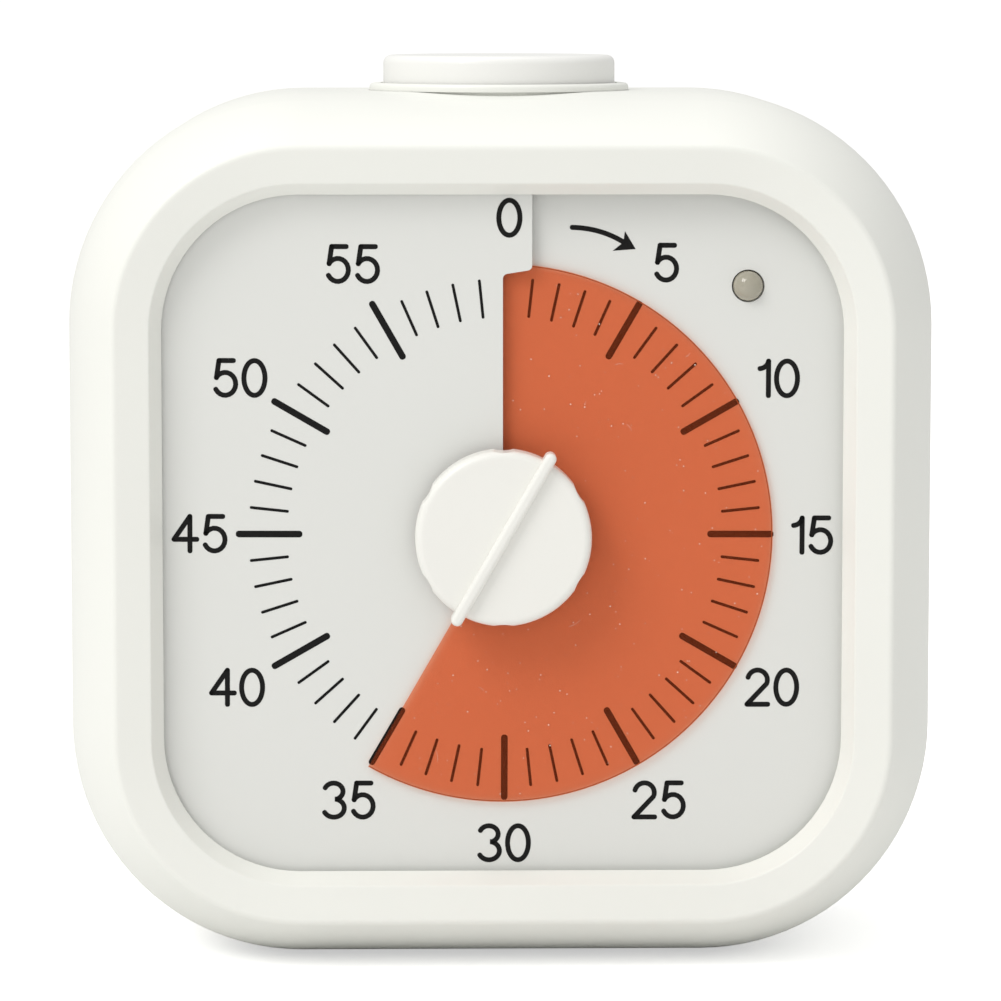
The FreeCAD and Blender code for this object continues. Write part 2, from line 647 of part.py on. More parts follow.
def signal_lamp():
    """Small clear lamp with a domed tip, a flange and two legs to the board."""
    tip_y = dial_y(math.degrees(math.atan2(LAMP_X, LAMP_H))) - DIAL_THICK / 2 - LAMP_PROUD
    dome_y = tip_y + LAMP_R
    lamp = disc(LAMP_R, dome_y, CARRIER_BACK, LAMP_X, LAMP_H)
    lamp = lamp.fuse([Part.makeSphere(LAMP_R, V(LAMP_X, dome_y, MID + LAMP_H)),
                      disc(LAMP_FLANGE_R, CARRIER_BACK, CARRIER_BACK + LAMP_FLANGE, LAMP_X, LAMP_H)])
    half = LAMP_LEG / 2
    for side in (-0.5, 0.5):
        x = LAMP_X + side * LAMP_LEG_PITCH
        leg = block(x - half, x + half, CARRIER_BACK + LAMP_FLANGE, BOARD_Y, LAMP_H - half, LAMP_H + half)
        lamp = lamp.fuse(leg)
    return lamp.removeSplitter()


def lamp_holder():
    """Ring that clips round the lamp's flange behind the carrier."""
    depth = LAMP_FLANGE + HOLDER_LIP
    ring = disc(LAMP_FLANGE_R + HOLDER_WALL, CARRIER_BACK, CARRIER_BACK + depth, LAMP_X, LAMP_H)
    ring = ring.cut(disc(LAMP_FLANGE_R + LAMP_FIT, CARRIER_BACK - PAST, CARRIER_BACK + LAMP_FLANGE + LAMP_FIT,
                         LAMP_X, LAMP_H))
    return ring.cut(disc(LAMP_R + LAMP_HOLE_GAP, CARRIER_BACK, CARRIER_BACK + depth + PAST, LAMP_X, LAMP_H))


def pivots(fit_y0, fit_y1):
    """Bearing holes for the shaft's journal and the two arbors."""
    return [disc(ARBOR_R + PIVOT_FIT, fit_y0, fit_y1, 0, IDLER_H),
            disc(ROTOR_ARBOR_R + PIVOT_FIT, fit_y0, fit_y1, ROTOR_X, IDLER_H)]


def movement_plate():
    """Front plate of the movement."""
    plate = block(CASE_LEFT, CASE_RIGHT, PLATE_Y, COVER_Y, CASE_LOW, CASE_HIGH)
    cuts = pivots(PLATE_Y - PAST, COVER_Y + PAST) + [disc(SHAFT_R + SHAFT_FIT, PLATE_Y - PAST, COVER_Y + PAST)]
    cuts += [disc(SMALL_SCREW_R + SCREW_PASS, PLATE_Y - PAST, COVER_Y + PAST, x, h) for x, h in MOVEMENT_SCREWS]
    return plate.cut(cuts)


def movement_cover():
    """Box that closes the movement and carries the circuit board."""
    wall = COVER_WALL
    box = block(CASE_LEFT, CASE_RIGHT, COVER_Y, COVER_BACK, CASE_LOW, CASE_HIGH)
    box = box.cut(block(CASE_LEFT + wall, CASE_RIGHT - wall, COVER_Y - PAST, COVER_BACK - wall,
                        CASE_LOW + wall, CASE_HIGH - wall))
    post_r = SMALL_SCREW_R + SMALL_POST
    box = box.fuse([disc(post_r, COVER_Y, COVER_BACK, x, h) for x, h in MOVEMENT_SCREWS]
                   + [disc(post_r, COVER_BACK - BOARD_POST, BOARD_Y, x, h) for x, h in BOARD_SCREWS])
    cuts = pivots(COVER_BACK - wall - PAST, COVER_BACK + PAST)
    cuts.append(disc(JOURNAL_R + PIVOT_FIT, COVER_BACK - wall - PAST, COVER_BACK + PAST))
    cuts += [disc(SMALL_SCREW_R + SCREW_PASS, COVER_Y - PAST, COVER_BACK + PAST, x, h) for x, h in MOVEMENT_SCREWS]
    cuts += [disc(SMALL_SCREW_R + SCREW_FIT, COVER_BACK - BOARD_POST + TIP_ROOM, BOARD_Y + PAST, x, h)
             for x, h in BOARD_SCREWS]
    return box.cut(cuts).removeSplitter()


def output_wheel():
    """Large wheel pressed on the knob shaft."""
    return gear(OUT_TEETH, OUT_Y, OUT_Y + WHEEL_THICK, 0, 0, 0, SHAFT_R)


def idler_wheel():
    """Wheel of the intermediate arbor."""
    return gear(IDLER_TEETH, IDLER_Y, IDLER_Y + WHEEL_THICK, 0, IDLER_H, 270, ARBOR_R)


def idler_pinion():
    """Pinion of the intermediate arbor, in mesh with the output wheel."""
    return gear(IDLER_PINION_TEETH, OUT_Y - PINION_EXTRA, OUT_Y + WHEEL_THICK + PINION_EXTRA, 0, IDLER_H,
                180 + 180 / IDLER_PINION_TEETH, ARBOR_R)


def idler_arbor():
    """Steel arbor of the intermediate wheel."""
    return disc(ARBOR_R, PLATE_Y + ARBOR_PLAY, COVER_BACK - ARBOR_PLAY, 0, IDLER_H)


def rotor_pinion():
    """Pinion of the motor's rotor, in mesh with the intermediate wheel."""
    return gear(ROTOR_TEETH, IDLER_Y - PINION_EXTRA, IDLER_Y + WHEEL_THICK + PINION_EXTRA,
                ROTOR_X, IDLER_H, 90 + 180 / ROTOR_TEETH, ROTOR_ARBOR_R)


def rotor_arbor():
    """Rotor's thin arbor."""
    return disc(ROTOR_ARBOR_R, PLATE_Y + ARBOR_PLAY, COVER_BACK - ARBOR_PLAY, ROTOR_X, IDLER_H)


def rotor_magnet():
    """Round magnet that turns in the stator's bore."""
    middle = STATOR_Y + STATOR_THICK / 2
    magnet = disc(MAGNET_R, middle - MAGNET_THICK / 2, middle + MAGNET_THICK / 2, ROTOR_X, IDLER_H)
    return magnet.cut(disc(ROTOR_ARBOR_R, middle - MAGNET_THICK, middle + MAGNET_THICK, ROTOR_X, IDLER_H))


def motor_stator():
    """Flat iron frame with a bore for the rotor and a window for the coil."""
    window_half = COIL_R + COIL_ROOM
    frame_half = window_half + STATOR_BAR
    bore = MAGNET_R + STATOR_GAP
    frame = block(ROTOR_X - frame_half, ROTOR_X + frame_half, STATOR_Y, STATOR_Y + STATOR_THICK,
                  COIL_LOW - STATOR_BAR, IDLER_H + bore + STATOR_BAR)
    window = block(ROTOR_X - window_half, ROTOR_X + window_half, STATOR_Y - PAST,
                   STATOR_Y + STATOR_THICK + PAST, COIL_LOW, COIL_HIGH)
    return frame.cut([window, disc(bore, STATOR_Y - PAST, STATOR_Y + STATOR_THICK + PAST, ROTOR_X, IDLER_H)])


def along_coil(radius, low, high):
    """Cylinder on the coil's axis."""
    return Part.makeCylinder(radius, high - low, V(ROTOR_X, STATOR_Y + STATOR_THICK / 2, MID + low))


def coil_core():
    """Iron core between the window's two ends."""
    return along_coil(CORE_BAR_R, COIL_LOW, COIL_HIGH)


def coil_bobbin():
    """Bobbin with two flanges."""
    low, high = COIL_LOW + BOBBIN_IN, COIL_HIGH - BOBBIN_IN
    body = along_coil(BOBBIN_R, low, high).fuse([along_coil(COIL_R + FLANGE_RISE, low, low + FLANGE_THICK),
                                                along_coil(COIL_R + FLANGE_RISE, high - FLANGE_THICK, high)])
    return body.cut(along_coil(CORE_BAR_R + CORE_FIT, low - PAST, high + PAST))


def motor_coil():
    """Copper winding, as one closed form."""
    inset = BOBBIN_IN + FLANGE_THICK + CORE_FIT
    low, high = COIL_LOW + inset, COIL_HIGH - inset
    return along_coil(COIL_R, low, high).cut(along_coil(BOBBIN_R + CORE_FIT, low - PAST, high + PAST))


def circuit_board():
    """Board screwed to the movement's cover."""
    board = block(-BOARD_HALF, BOARD_HALF, BOARD_Y, BOARD_BACK, BOARD_LOW, BOARD_HIGH)
    return board.cut([disc(SMALL_SCREW_R + WELL_FIT, BOARD_Y - PAST, BOARD_BACK + PAST, x, h)
                      for x, h in BOARD_SCREWS])


def control_chip():
    """Control chip on the board."""
    x, h, half_x, half_h, thick = CHIP
    return block(x - half_x, x + half_x, BOARD_BACK, BOARD_BACK + thick, h - half_h, h + half_h)


def quartz_crystal():
    """Crystal can that lies on the board."""
    can = Part.makeCylinder(CRYSTAL_R, CRYSTAL_LENGTH, V(CRYSTAL_X, BOARD_BACK + CRYSTAL_R, MID + CRYSTAL_H))
    return can.makeFillet(CRYSTAL_ROUND, [e for e in can.Edges if e.BoundBox.ZLength < 0.01])


def supply_capacitor():
    """Upright capacitor on the board."""
    return disc(CAPACITOR_R, BOARD_BACK, BOARD_BACK + CAPACITOR_TALL, CAPACITOR_X, CAPACITOR_H)


def switch_body():
    """Push switch at the board's top edge, under the alarm button."""
    body = block(-SWITCH_HALF, SWITCH_HALF, BOARD_BACK, BOARD_BACK + SWITCH_DEEP,
                 SWITCH_TOP - MID - SWITCH_TALL, SWITCH_TOP - MID)
    return body.cut(upright(SWITCH_STEM_R + SWITCH_STEM_FIT, SWITCH_TOP - SWITCH_STEM_IN - BUTTON_TRAVEL - CLIP_GAP, SWITCH_TOP + PAST))


def switch_plunger():
    """Plunger of the push switch, which the button's post presses."""
    return upright(SWITCH_STEM_R, SWITCH_TOP - SWITCH_STEM_IN, STEM_TOP)


def button_collar():
    """Flanged cup in the case's top that guides the button."""
    inner = CAP_R + COLLAR_GAP
    top_in, top_arc = rounded((COLLAR_R, BODY_TOP), (COLLAR_R, COLLAR_TOP), (inner, COLLAR_TOP),
                              COLLAR_ROUND)
    low = BODY_TOP - COLLAR_DEPTH
    hole = POST_R + POST_FIT
    wire = outline((hole, low), (COLLAR_TUBE_R, low), (COLLAR_TUBE_R, BODY_TOP), (COLLAR_R, BODY_TOP),
                   top_in, top_arc, (inner, COLLAR_TOP), (inner, FLOOR_TOP), (hole, FLOOR_TOP))
    return turned_upright(wire)


def button_cap():
    """Round cap with a softly rounded edge."""
    edge_in, edge_arc = rounded((CAP_R, COLLAR_TOP), (CAP_R, CAP_TOP), (0, CAP_TOP), CAP_ROUND)
    inner, under = CAP_R - CAP_WALL, CAP_TOP - CAP_WALL
    low = CAP_TOP - CAP_SKIRT
    wire = outline((0, under), (inner, under), (inner, low), (CAP_R, low), edge_in, edge_arc,
                   (0, CAP_TOP))
    return turned_upright(wire)


def button_post():
    """Post under the cap that reaches the switch."""
    return upright(POST_R, STEM_TOP, CAP_TOP - CAP_WALL)


def post_clip():
    """Clip on the post, under the collar's floor, that keeps the button in."""
    top = BODY_TOP - COLLAR_DEPTH - CLIP_GAP
    clip = upright(CLIP_R, top - CLIP_THICK, top)
    return clip.cut(upright(POST_R, top - CLIP_THICK - PAST, top + PAST))


def spring_length():
    """Free height between the collar's floor and the cap."""
    return CAP_TOP - CAP_WALL - FLOOR_TOP


def button_spring():
    """Return spring round the post."""
    rise = spring_length() - 2 * (SPRING_WIRE_R + SPRING_PLAY)
    def wound(turns):
        a = 2 * math.pi * turns
        return V(SPRING_R * math.cos(a), SPRING_R * math.sin(a), rise * turns / SPRING_COIL_COUNT)
    quarters = [Part.Arc(wound(q / 4), wound((q + 0.5) / 4), wound((q + PAST) / 4)).toShape()
                for q in range(4 * SPRING_COIL_COUNT)]
    section = Part.Wire(Part.makeCircle(SPRING_WIRE_R, wound(0), V(0, 1, 0)))
    spring = Part.Wire(quarters).makePipeShell([section], True, False)
    spring.translate(V(0, BUTTON_Y, FLOOR_TOP + SPRING_WIRE_R + SPRING_PLAY))
    return spring


def battery_cell():
    """Dry cell, lying across the case, positive end to the right."""
    start = -CONTACT_X + SPRING_REACH
    body_end = start + CELL_LENGTH - CELL_NUB
    axis = V(1, 0, 0)
    body = Part.makeCylinder(CELL_R, body_end - start, V(start, CELL_Y, MID + CELL_H), axis)
    body = body.makeFillet(CELL_ROUND, [e for e in body.Edges if e.BoundBox.XLength < 0.01])
    nub = Part.makeCylinder(CELL_NUB_R, CELL_NUB, V(body_end, CELL_Y, MID + CELL_H), axis)
    return body.fuse(nub)


def battery_cradle():
    """Open tray for the cell, fixed to the inside of the rear wall."""
    end = CONTACT_X + CONTACT_THICK
    low = CELL_H - CELL_R - CELL_GAP
    tray = block(-end - CRADLE_END, end + CRADLE_END, CELL_Y - CELL_R - CELL_GAP - CRADLE_WALL, INNER_BACK,
                 low - CRADLE_WALL, CELL_H + CELL_R)
    room = block(-end, end, CELL_Y - CELL_R - CELL_GAP, INNER_BACK + PAST, low, CELL_H + CELL_R + PAST)
    return tray.cut(room)


def contact_plate(x0, x1):
    """Upright contact strip that reaches the board's solder pads."""
    return block(x0, x1, BOARD_BACK + PIVOT_FIT, CELL_Y + CELL_NUB_R, CELL_H - CONTACT_HALF,
                 BOARD_LOW + CONTACT_LAP)


def contact_positive():
    """Flat contact at the cell's positive end."""
    return contact_plate(CONTACT_X, CONTACT_X + CONTACT_THICK - CONTACT_FIT)


def contact_negative():
    """Contact with a sprung cone at the cell's negative end."""
    plate = contact_plate(-CONTACT_X - CONTACT_THICK + CONTACT_FIT, -CONTACT_X)
    foot, tip = CONE_R
    spot, length = V(-CONTACT_X, CELL_Y, MID + CELL_H), SPRING_REACH - SPRING_PLAY
    cone = Part.makeCone(foot, tip, length, spot, V(1, 0, 0))
    return plate.fuse(cone.cut(Part.makeCone(foot - CONE_WALL, tip - CONE_WALL, length, spot, V(1, 0, 0))))


def battery_door():
    """Flush door that pulls straight off the back."""
    door = door_block(DOOR_GAP, BACK_Y - DOOR_THICK, BACK_Y)
    door = door.makeFillet(DOOR_ROUND, [e for e in door.Edges if e.BoundBox.YMin > BACK_Y - 0.01])
    grip = block(-GRIP_HALF, GRIP_HALF, BACK_Y - GRIP_DEPTH, BACK_Y + PAST, CELL_H + GRIP_LOW, CELL_H + GRIP_HIGH)
    rib_y = INNER_BACK + DOOR_GAP
    ribs = [block(x - DOOR_RIB / 2, x + DOOR_RIB / 2, rib_y, BACK_Y - DOOR_THICK,
                  CELL_H - DOOR_RIB_HALF, CELL_H + DOOR_RIB_HALF) for x in (-DOOR_RIB_PITCH, 0, DOOR_RIB_PITCH)]
    return door.cut(grip).fuse(ribs).removeSplitter()


def buzzer_case():
    """Cup that holds the sounder against the rear wall."""
    front = INNER_BACK - BUZZER_DEEP
    cup = disc(BUZZER_R, front, INNER_BACK, BUZZER_X, BUZZER_H)
    ledge_y = INNER_BACK - BUZZER_DEEP / 2
    cup = cup.cut(disc(BUZZER_R - BUZZER_WALL, ledge_y, INNER_BACK + PAST, BUZZER_X, BUZZER_H))
    return cup.cut(disc(BUZZER_R - BUZZER_WALL - BUZZER_LEDGE, front + BUZZER_WALL, INNER_BACK, BUZZER_X, BUZZER_H))


def buzzer_disc():
    """Sounder disc on the cup's ledge."""
    ledge_y = INNER_BACK - BUZZER_DEEP / 2
    return disc(BUZZER_R - BUZZER_WALL - BUZZER_FIT, ledge_y, ledge_y + SOUNDER_THICK, BUZZER_X, BUZZER_H)


def pin_row(places, y1):
    """Straight pins from the board to a part behind it."""
    return Part.makeCompound([disc(PIN_R, BOARD_BACK, y1, x, h) for x, h in places])


def buzzer_pins():
    """Two pins that feed the sounder."""
    return pin_row([(BUZZER_X - BUZZER_PIN, BUZZER_H), (BUZZER_X + BUZZER_PIN, BUZZER_H)], INNER_BACK - BUZZER_DEEP)


def volume_switch():
    """Body of the volume switch behind the slot."""
    half = SLIDER_HALF + SLIDE_FIT + VOLUME_WALL
    deep = INNER_BACK - VOLUME_DEEP
    body = block(SLIDER_X - half, SLIDER_X + half + SLIDER_TRAVEL, deep, INNER_BACK,
                 SLIDER_H - half, SLIDER_H + half)
    return body.cut(slot_block(INNER_BACK - VOLUME_POCKET, INNER_BACK + PAST))


def volume_pins():
    """Three pins that carry the volume switch on the board."""
    return pin_row([(SLIDER_X + step, SLIDER_H) for step in VOLUME_PINS], INNER_BACK - VOLUME_DEEP)


def volume_slider():
    """Slider that stands a little proud of the back, with a ribbed face."""
    half_h = SLIDER_HALF - SLIDE_FIT
    top = BACK_Y + SLIDER_PROUD
    slider = block(SLIDER_X - SLIDER_HALF, SLIDER_X + SLIDER_HALF, INNER_BACK - SLIDER_IN, top,
                   SLIDER_H - half_h, SLIDER_H + half_h)
    half = SLIDER_GROOVE / 2
    for x in (SLIDER_X - SLIDER_RIDGE, SLIDER_X, SLIDER_X + SLIDER_RIDGE):
        slider = slider.cut(block(x - half, x + half, top - SLIDER_GROOVE, top + PAST,
                                  SLIDER_H - SLIDER_HALF, SLIDER_H + SLIDER_HALF))
    return slider


def case_screws():
    """Four screws that draw the two halves of the case together."""
    tip = WINDOW_Y + SCREW_TIP
    return Part.makeCompound([screw(CASE_SCREW_R, CASE_HEAD_R, CASE_HEAD, CASE_SEAT_Y, tip, x, h)
                              for x, h in case_screw_places()])


def movement_screws():
    """Three screws that hold the movement to the carrier."""
    return Part.makeCompound([screw(SMALL_SCREW_R, SMALL_HEAD_R, SMALL_HEAD, COVER_BACK, CARRIER_Y + TIP_ROOM,
                                    x, h) for x, h in MOVEMENT_SCREWS])


def board_screws():
    """Three screws that hold the board."""
    return Part.makeCompound([screw(SMALL_SCREW_R, SMALL_HEAD_R, SMALL_HEAD, BOARD_BACK, COVER_BACK - BOARD_POST + 2 * TIP_ROOM,
                                    x, h) for x, h in BOARD_SCREWS])


PIECES = (
    front_bezel, rear_housing, dial_sheet, dial_carrier, time_film, film_hub, setting_knob, knob_shaft,
    signal_lamp, lamp_holder, movement_plate, movement_cover, output_wheel, idler_wheel, idler_pinion,
    idler_arbor, rotor_pinion, rotor_arbor, rotor_magnet, motor_stator, coil_core, coil_bobbin, motor_coil,
    circuit_board, control_chip, quartz_crystal, supply_capacitor, switch_body, switch_plunger,
    button_collar, button_cap, button_post, post_clip, button_spring, battery_cell, battery_cradle,
    contact_positive, contact_negative, battery_door, buzzer_case, buzzer_disc, buzzer_pins,
    volume_switch, volume_pins, volume_slider, case_screws, movement_screws, board_screws)

os.makedirs("parts", exist_ok=True)
for piece in PIECES:
    shape = piece()
    print(piece.__name__, len(shape.Solids), "solid", shape.isValid(), round(shape.Volume, 2))
    shape.exportStep("parts/%s.step" % piece.__name__)
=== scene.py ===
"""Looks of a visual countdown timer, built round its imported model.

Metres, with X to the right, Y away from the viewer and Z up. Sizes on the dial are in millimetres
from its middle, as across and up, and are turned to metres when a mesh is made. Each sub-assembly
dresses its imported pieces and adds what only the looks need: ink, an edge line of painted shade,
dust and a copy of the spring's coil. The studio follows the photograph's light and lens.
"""

from __future__ import annotations

import json
import logging
import math
import random
from dataclasses import dataclass, field
from enum import Enum
from typing import Any, Callable, Iterable, Sequence, Union

import bmesh
import bpy
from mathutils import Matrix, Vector

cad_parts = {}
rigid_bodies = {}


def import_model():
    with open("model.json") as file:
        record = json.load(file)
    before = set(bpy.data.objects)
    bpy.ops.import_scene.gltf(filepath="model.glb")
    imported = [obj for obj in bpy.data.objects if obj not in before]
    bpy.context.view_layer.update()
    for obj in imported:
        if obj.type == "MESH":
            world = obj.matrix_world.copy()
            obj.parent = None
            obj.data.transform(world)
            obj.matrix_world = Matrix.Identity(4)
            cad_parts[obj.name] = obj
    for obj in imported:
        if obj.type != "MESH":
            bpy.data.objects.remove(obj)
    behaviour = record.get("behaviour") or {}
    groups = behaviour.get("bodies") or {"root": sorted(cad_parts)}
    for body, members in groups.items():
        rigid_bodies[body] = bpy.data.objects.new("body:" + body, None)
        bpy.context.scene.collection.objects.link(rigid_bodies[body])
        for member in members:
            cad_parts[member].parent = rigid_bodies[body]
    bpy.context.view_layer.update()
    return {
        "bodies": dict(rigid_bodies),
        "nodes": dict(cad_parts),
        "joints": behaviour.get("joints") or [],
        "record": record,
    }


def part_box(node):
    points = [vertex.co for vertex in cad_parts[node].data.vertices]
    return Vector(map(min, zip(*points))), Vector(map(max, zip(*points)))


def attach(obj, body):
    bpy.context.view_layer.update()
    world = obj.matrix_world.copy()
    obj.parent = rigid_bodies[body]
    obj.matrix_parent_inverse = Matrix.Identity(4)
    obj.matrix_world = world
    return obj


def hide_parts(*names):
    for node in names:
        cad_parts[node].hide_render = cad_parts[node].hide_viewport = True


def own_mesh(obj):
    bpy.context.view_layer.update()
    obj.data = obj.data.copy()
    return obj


LOG = logging.getLogger("countdown_timer")
MM = 0.001
FULL_TURN = 360.0  # degrees
MINUTE_TURN = 6.0  # degrees of dial for a minute
CAP_STEPS = 4      # sections in a stroke's round end

Triple = tuple[float, float, float]
Colour = Triple
Point = tuple[float, float]


class MathKind(Enum):
    """Operations of a Math node."""

    ADD = "ADD"
    SUBTRACT = "SUBTRACT"
    MULTIPLY = "MULTIPLY"
    DIVIDE = "DIVIDE"
    POWER = "POWER"
    GREATER = "GREATER_THAN"
    LESS = "LESS_THAN"


class Body(Enum):
    """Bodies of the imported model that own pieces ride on."""

    HOUSING = "housing"
    FILM = "film"


class Slot(Enum):
    """Material slots of the record."""

    DIAL = "dial_card"
    FILM = "orange_film"
    STEEL = "steel"


class Socket:
    """Node output that takes part in arithmetic; each operation adds a node."""

    def __init__(self, graph: Graph, source: bpy.types.NodeSocket | None) -> None:
        """Keeps the graph and the output."""
        self.graph = graph
        self.source = source

    def combine(self, kind: MathKind, left: Value, right: Value) -> Socket:
        """Adds one Math node.

        Args:
            kind: The operation.
            left: First value.
            right: Second value.

        Returns:
            The node's result.
        """
        return self.graph.add("ShaderNodeMath", {"operation": kind.value}, {0: left, 1: right})

    def __add__(self, other: Value) -> Socket:
        """Sum."""
        return self.combine(MathKind.ADD, self, other)

    def __radd__(self, other: Value) -> Socket:
        """Sum with a number on the left."""
        return self.combine(MathKind.ADD, other, self)

    def __sub__(self, other: Value) -> Socket:
        """Difference."""
        return self.combine(MathKind.SUBTRACT, self, other)

    def __rsub__(self, other: Value) -> Socket:
        """Difference with a number on the left."""
        return self.combine(MathKind.SUBTRACT, other, self)

    def __mul__(self, other: Value) -> Socket:
        """Product."""
        return self.combine(MathKind.MULTIPLY, self, other)

    def __rmul__(self, other: Value) -> Socket:
        """Product with a number on the left."""
        return self.combine(MathKind.MULTIPLY, other, self)

    def __truediv__(self, other: Value) -> Socket:
        """Quotient."""
        return self.combine(MathKind.DIVIDE, self, other)

    def __rtruediv__(self, other: Value) -> Socket:
        """Quotient of a number on the left."""
        return self.combine(MathKind.DIVIDE, other, self)

    def __pow__(self, other: Value) -> Socket:
        """Power."""
        return self.combine(MathKind.POWER, self, other)

    def __gt__(self, other: Value) -> Socket:
        """One where this is the greater."""
        return self.combine(MathKind.GREATER, self, other)

    def __lt__(self, other: Value) -> Socket:
        """One where this is the smaller."""
        return self.combine(MathKind.LESS, self, other)


Value = Union[Socket, float, int, Sequence[float]]


class Graph:
    """Node tree of a material or of the world."""

    def __init__(self, owner: bpy.types.Material | bpy.types.World) -> None:
        """Empties the owner's tree."""
        self.owner = owner
        owner.use_nodes = True
        self.tree = owner.node_tree
        self.tree.nodes.clear()

    @classmethod
    def of_material(cls, name: str) -> Graph:
        """Graph of a new material."""
        return cls(bpy.data.materials.new(name))

    def add(self, kind: str, settings: dict[str, Any] | None = None,
            values: dict[str | int, Any] | None = None, output: int = 0) -> Socket:
        """Adds any node: its settings first, then its inputs.

        Args:
            kind: The node's type name.
            settings: Attributes of the node.
            values: Input values or links, by name or by place.
            output: Which output to hand back.

        Returns:
            The output, or an empty socket for a node with none.
        """
        node = self.tree.nodes.new(kind)
        for key, value in (settings or {}).items():
            setattr(node, key, value)
        for key, value in (values or {}).items():
            if isinstance(value, Socket):
                self.tree.links.new(value.source, node.inputs[key])
            else:
                node.inputs[key].default_value = value
        return Socket(self, node.outputs[output] if node.outputs else None)

    def place(self, stretch: Sequence[float] = (1.0, 1.0, 1.0)) -> Socket:
        """Position on the object, stretched along the axes."""
        spot = self.add("ShaderNodeTexCoord", output=3)
        return self.add("ShaderNodeVectorMath", {"operation": "MULTIPLY"}, {0: spot, 1: tuple(stretch)})

    def axis(self, which: int) -> Socket:
        """One coordinate of the position on the object."""
        return self.add("ShaderNodeSeparateXYZ", None, {0: self.place()}, which)

    def noise(self, scale: float, detail: float = 3.0,
              stretch: Sequence[float] = (1.0, 1.0, 1.0)) -> Socket:
        """Noise between about 0.3 and 0.7.

        Args:
            scale: Cells in a metre.
            detail: Number of finer layers.
            stretch: Factor on each axis.

        Returns:
            The noise's strength.
        """
        return self.add("ShaderNodeTexNoise", None,
                        {"Vector": self.place(stretch), "Scale": scale, "Detail": detail})

    def blend(self, share: Value, first: Value, second: Value) -> Socket:
        """Colour between two colours.

        Args:
            share: How much of the second.
            first: First colour.
            second: Second colour.

        Returns:
            The blended colour.
        """
        sides = {6: opaque(first), 7: opaque(second)}
        return self.add("ShaderNodeMix", {"data_type": "RGBA"}, {0: share, **sides}, 2)

    def bump(self, height: Socket, strength: float, depth: float) -> Socket:
        """Normal that a height makes.

        Args:
            height: The height's pattern.
            strength: How strongly it shows.
            depth: The relief's depth in metres.

        Returns:
            The bumped normal.
        """
        return self.add("ShaderNodeBump", None, {"Height": height, "Strength": strength, "Distance": depth})

    def principled(self, **values: Any) -> Socket:
        """Main shader, with input names written with underscores."""
        return self.add("ShaderNodeBsdfPrincipled", None,
                        {key.replace("_", " "): value for key, value in values.items()})

    def finish(self, shader: Socket) -> bpy.types.Material:
        """Ends the tree in a shader and hands back the material."""
        self.add("ShaderNodeOutputMaterial", None, {"Surface": shader})
        return self.owner


def opaque(colour: Value) -> Value:
    """A plain colour with full alpha; a socket stays as it is."""
    return colour if isinstance(colour, Socket) else (*colour, 1.0)


@dataclass(frozen=True)
class Plastic:
    """Moulded plastic: fine grain, faint mottling and handled patches with a little more gloss."""

    name: str
    colour: Colour
    roughness: float = 0.5
    grain: float = 0.25
    grain_scale: float = 3200.0
    depth: float = 0.00002
    mottle: float = 0.03
    coat: float = 0.0
    cloud_scale: float = 55.0
    worn_scale: float = 18.0
    worn_spread: float = 0.16

    def material(self) -> bpy.types.Material:
        """Makes the material."""
        graph = Graph.of_material(self.name)
        cloud = graph.noise(self.cloud_scale, detail=4.0)
        worn = graph.noise(self.worn_scale, detail=5.0)
        grit = graph.noise(self.grain_scale, detail=2.0)
        darker = tuple(channel * (1.0 - self.mottle) for channel in self.colour)
        return graph.finish(graph.principled(
            Base_Color=graph.blend(cloud, self.colour, darker),
            Roughness=self.roughness - self.worn_spread / 2 + worn * self.worn_spread,
            Coat_Weight=self.coat,
            Coat_Roughness=0.25,
            Normal=graph.bump(grit, strength=self.grain, depth=self.depth)))


@dataclass(frozen=True)
class Metal:
    """Metal with a drawn grain along one axis and faint stains."""

    name: str
    colour: Colour
    roughness: float = 0.3
    stretch: Triple = (1.0, 0.05, 1.0)
    grain_scale: float = 9000.0
    stain_scale: float = 240.0
    stain: float = 0.82

    def material(self) -> bpy.types.Material:
        """Makes the material."""
        graph = Graph.of_material(self.name)
        grain = graph.noise(self.grain_scale, detail=2.0, stretch=self.stretch)
        stain = graph.noise(self.stain_scale, detail=4.0)
        dull = tuple(channel * self.stain for channel in self.colour)
        return graph.finish(graph.principled(
            Base_Color=graph.blend(stain, self.colour, dull),
            Metallic=1.0,
            Roughness=self.roughness - 0.08 + grain * 0.18,
            Normal=graph.bump(grain, strength=0.15, depth=0.00001)))


@dataclass(frozen=True)
class Winding:
    """Enamelled wire laid in close turns."""

    name: str
    colour: Colour
    wave_scale: float = 600.0
    gap_shade: float = 0.45

    def material(self) -> bpy.types.Material:
        """Makes the material."""
        graph = Graph.of_material(self.name)
        coils = graph.add("ShaderNodeTexWave", {"bands_direction": "Z"},
                          {"Vector": graph.place(), "Scale": self.wave_scale, "Distortion": 0.6})
        shade = tuple(channel * self.gap_shade for channel in self.colour)
        return graph.finish(graph.principled(
            Base_Color=graph.blend(coils, shade, self.colour),
            Metallic=0.8,
            Roughness=0.32 + coils * 0.1,
            Normal=graph.bump(coils, strength=0.5, depth=0.00005)))


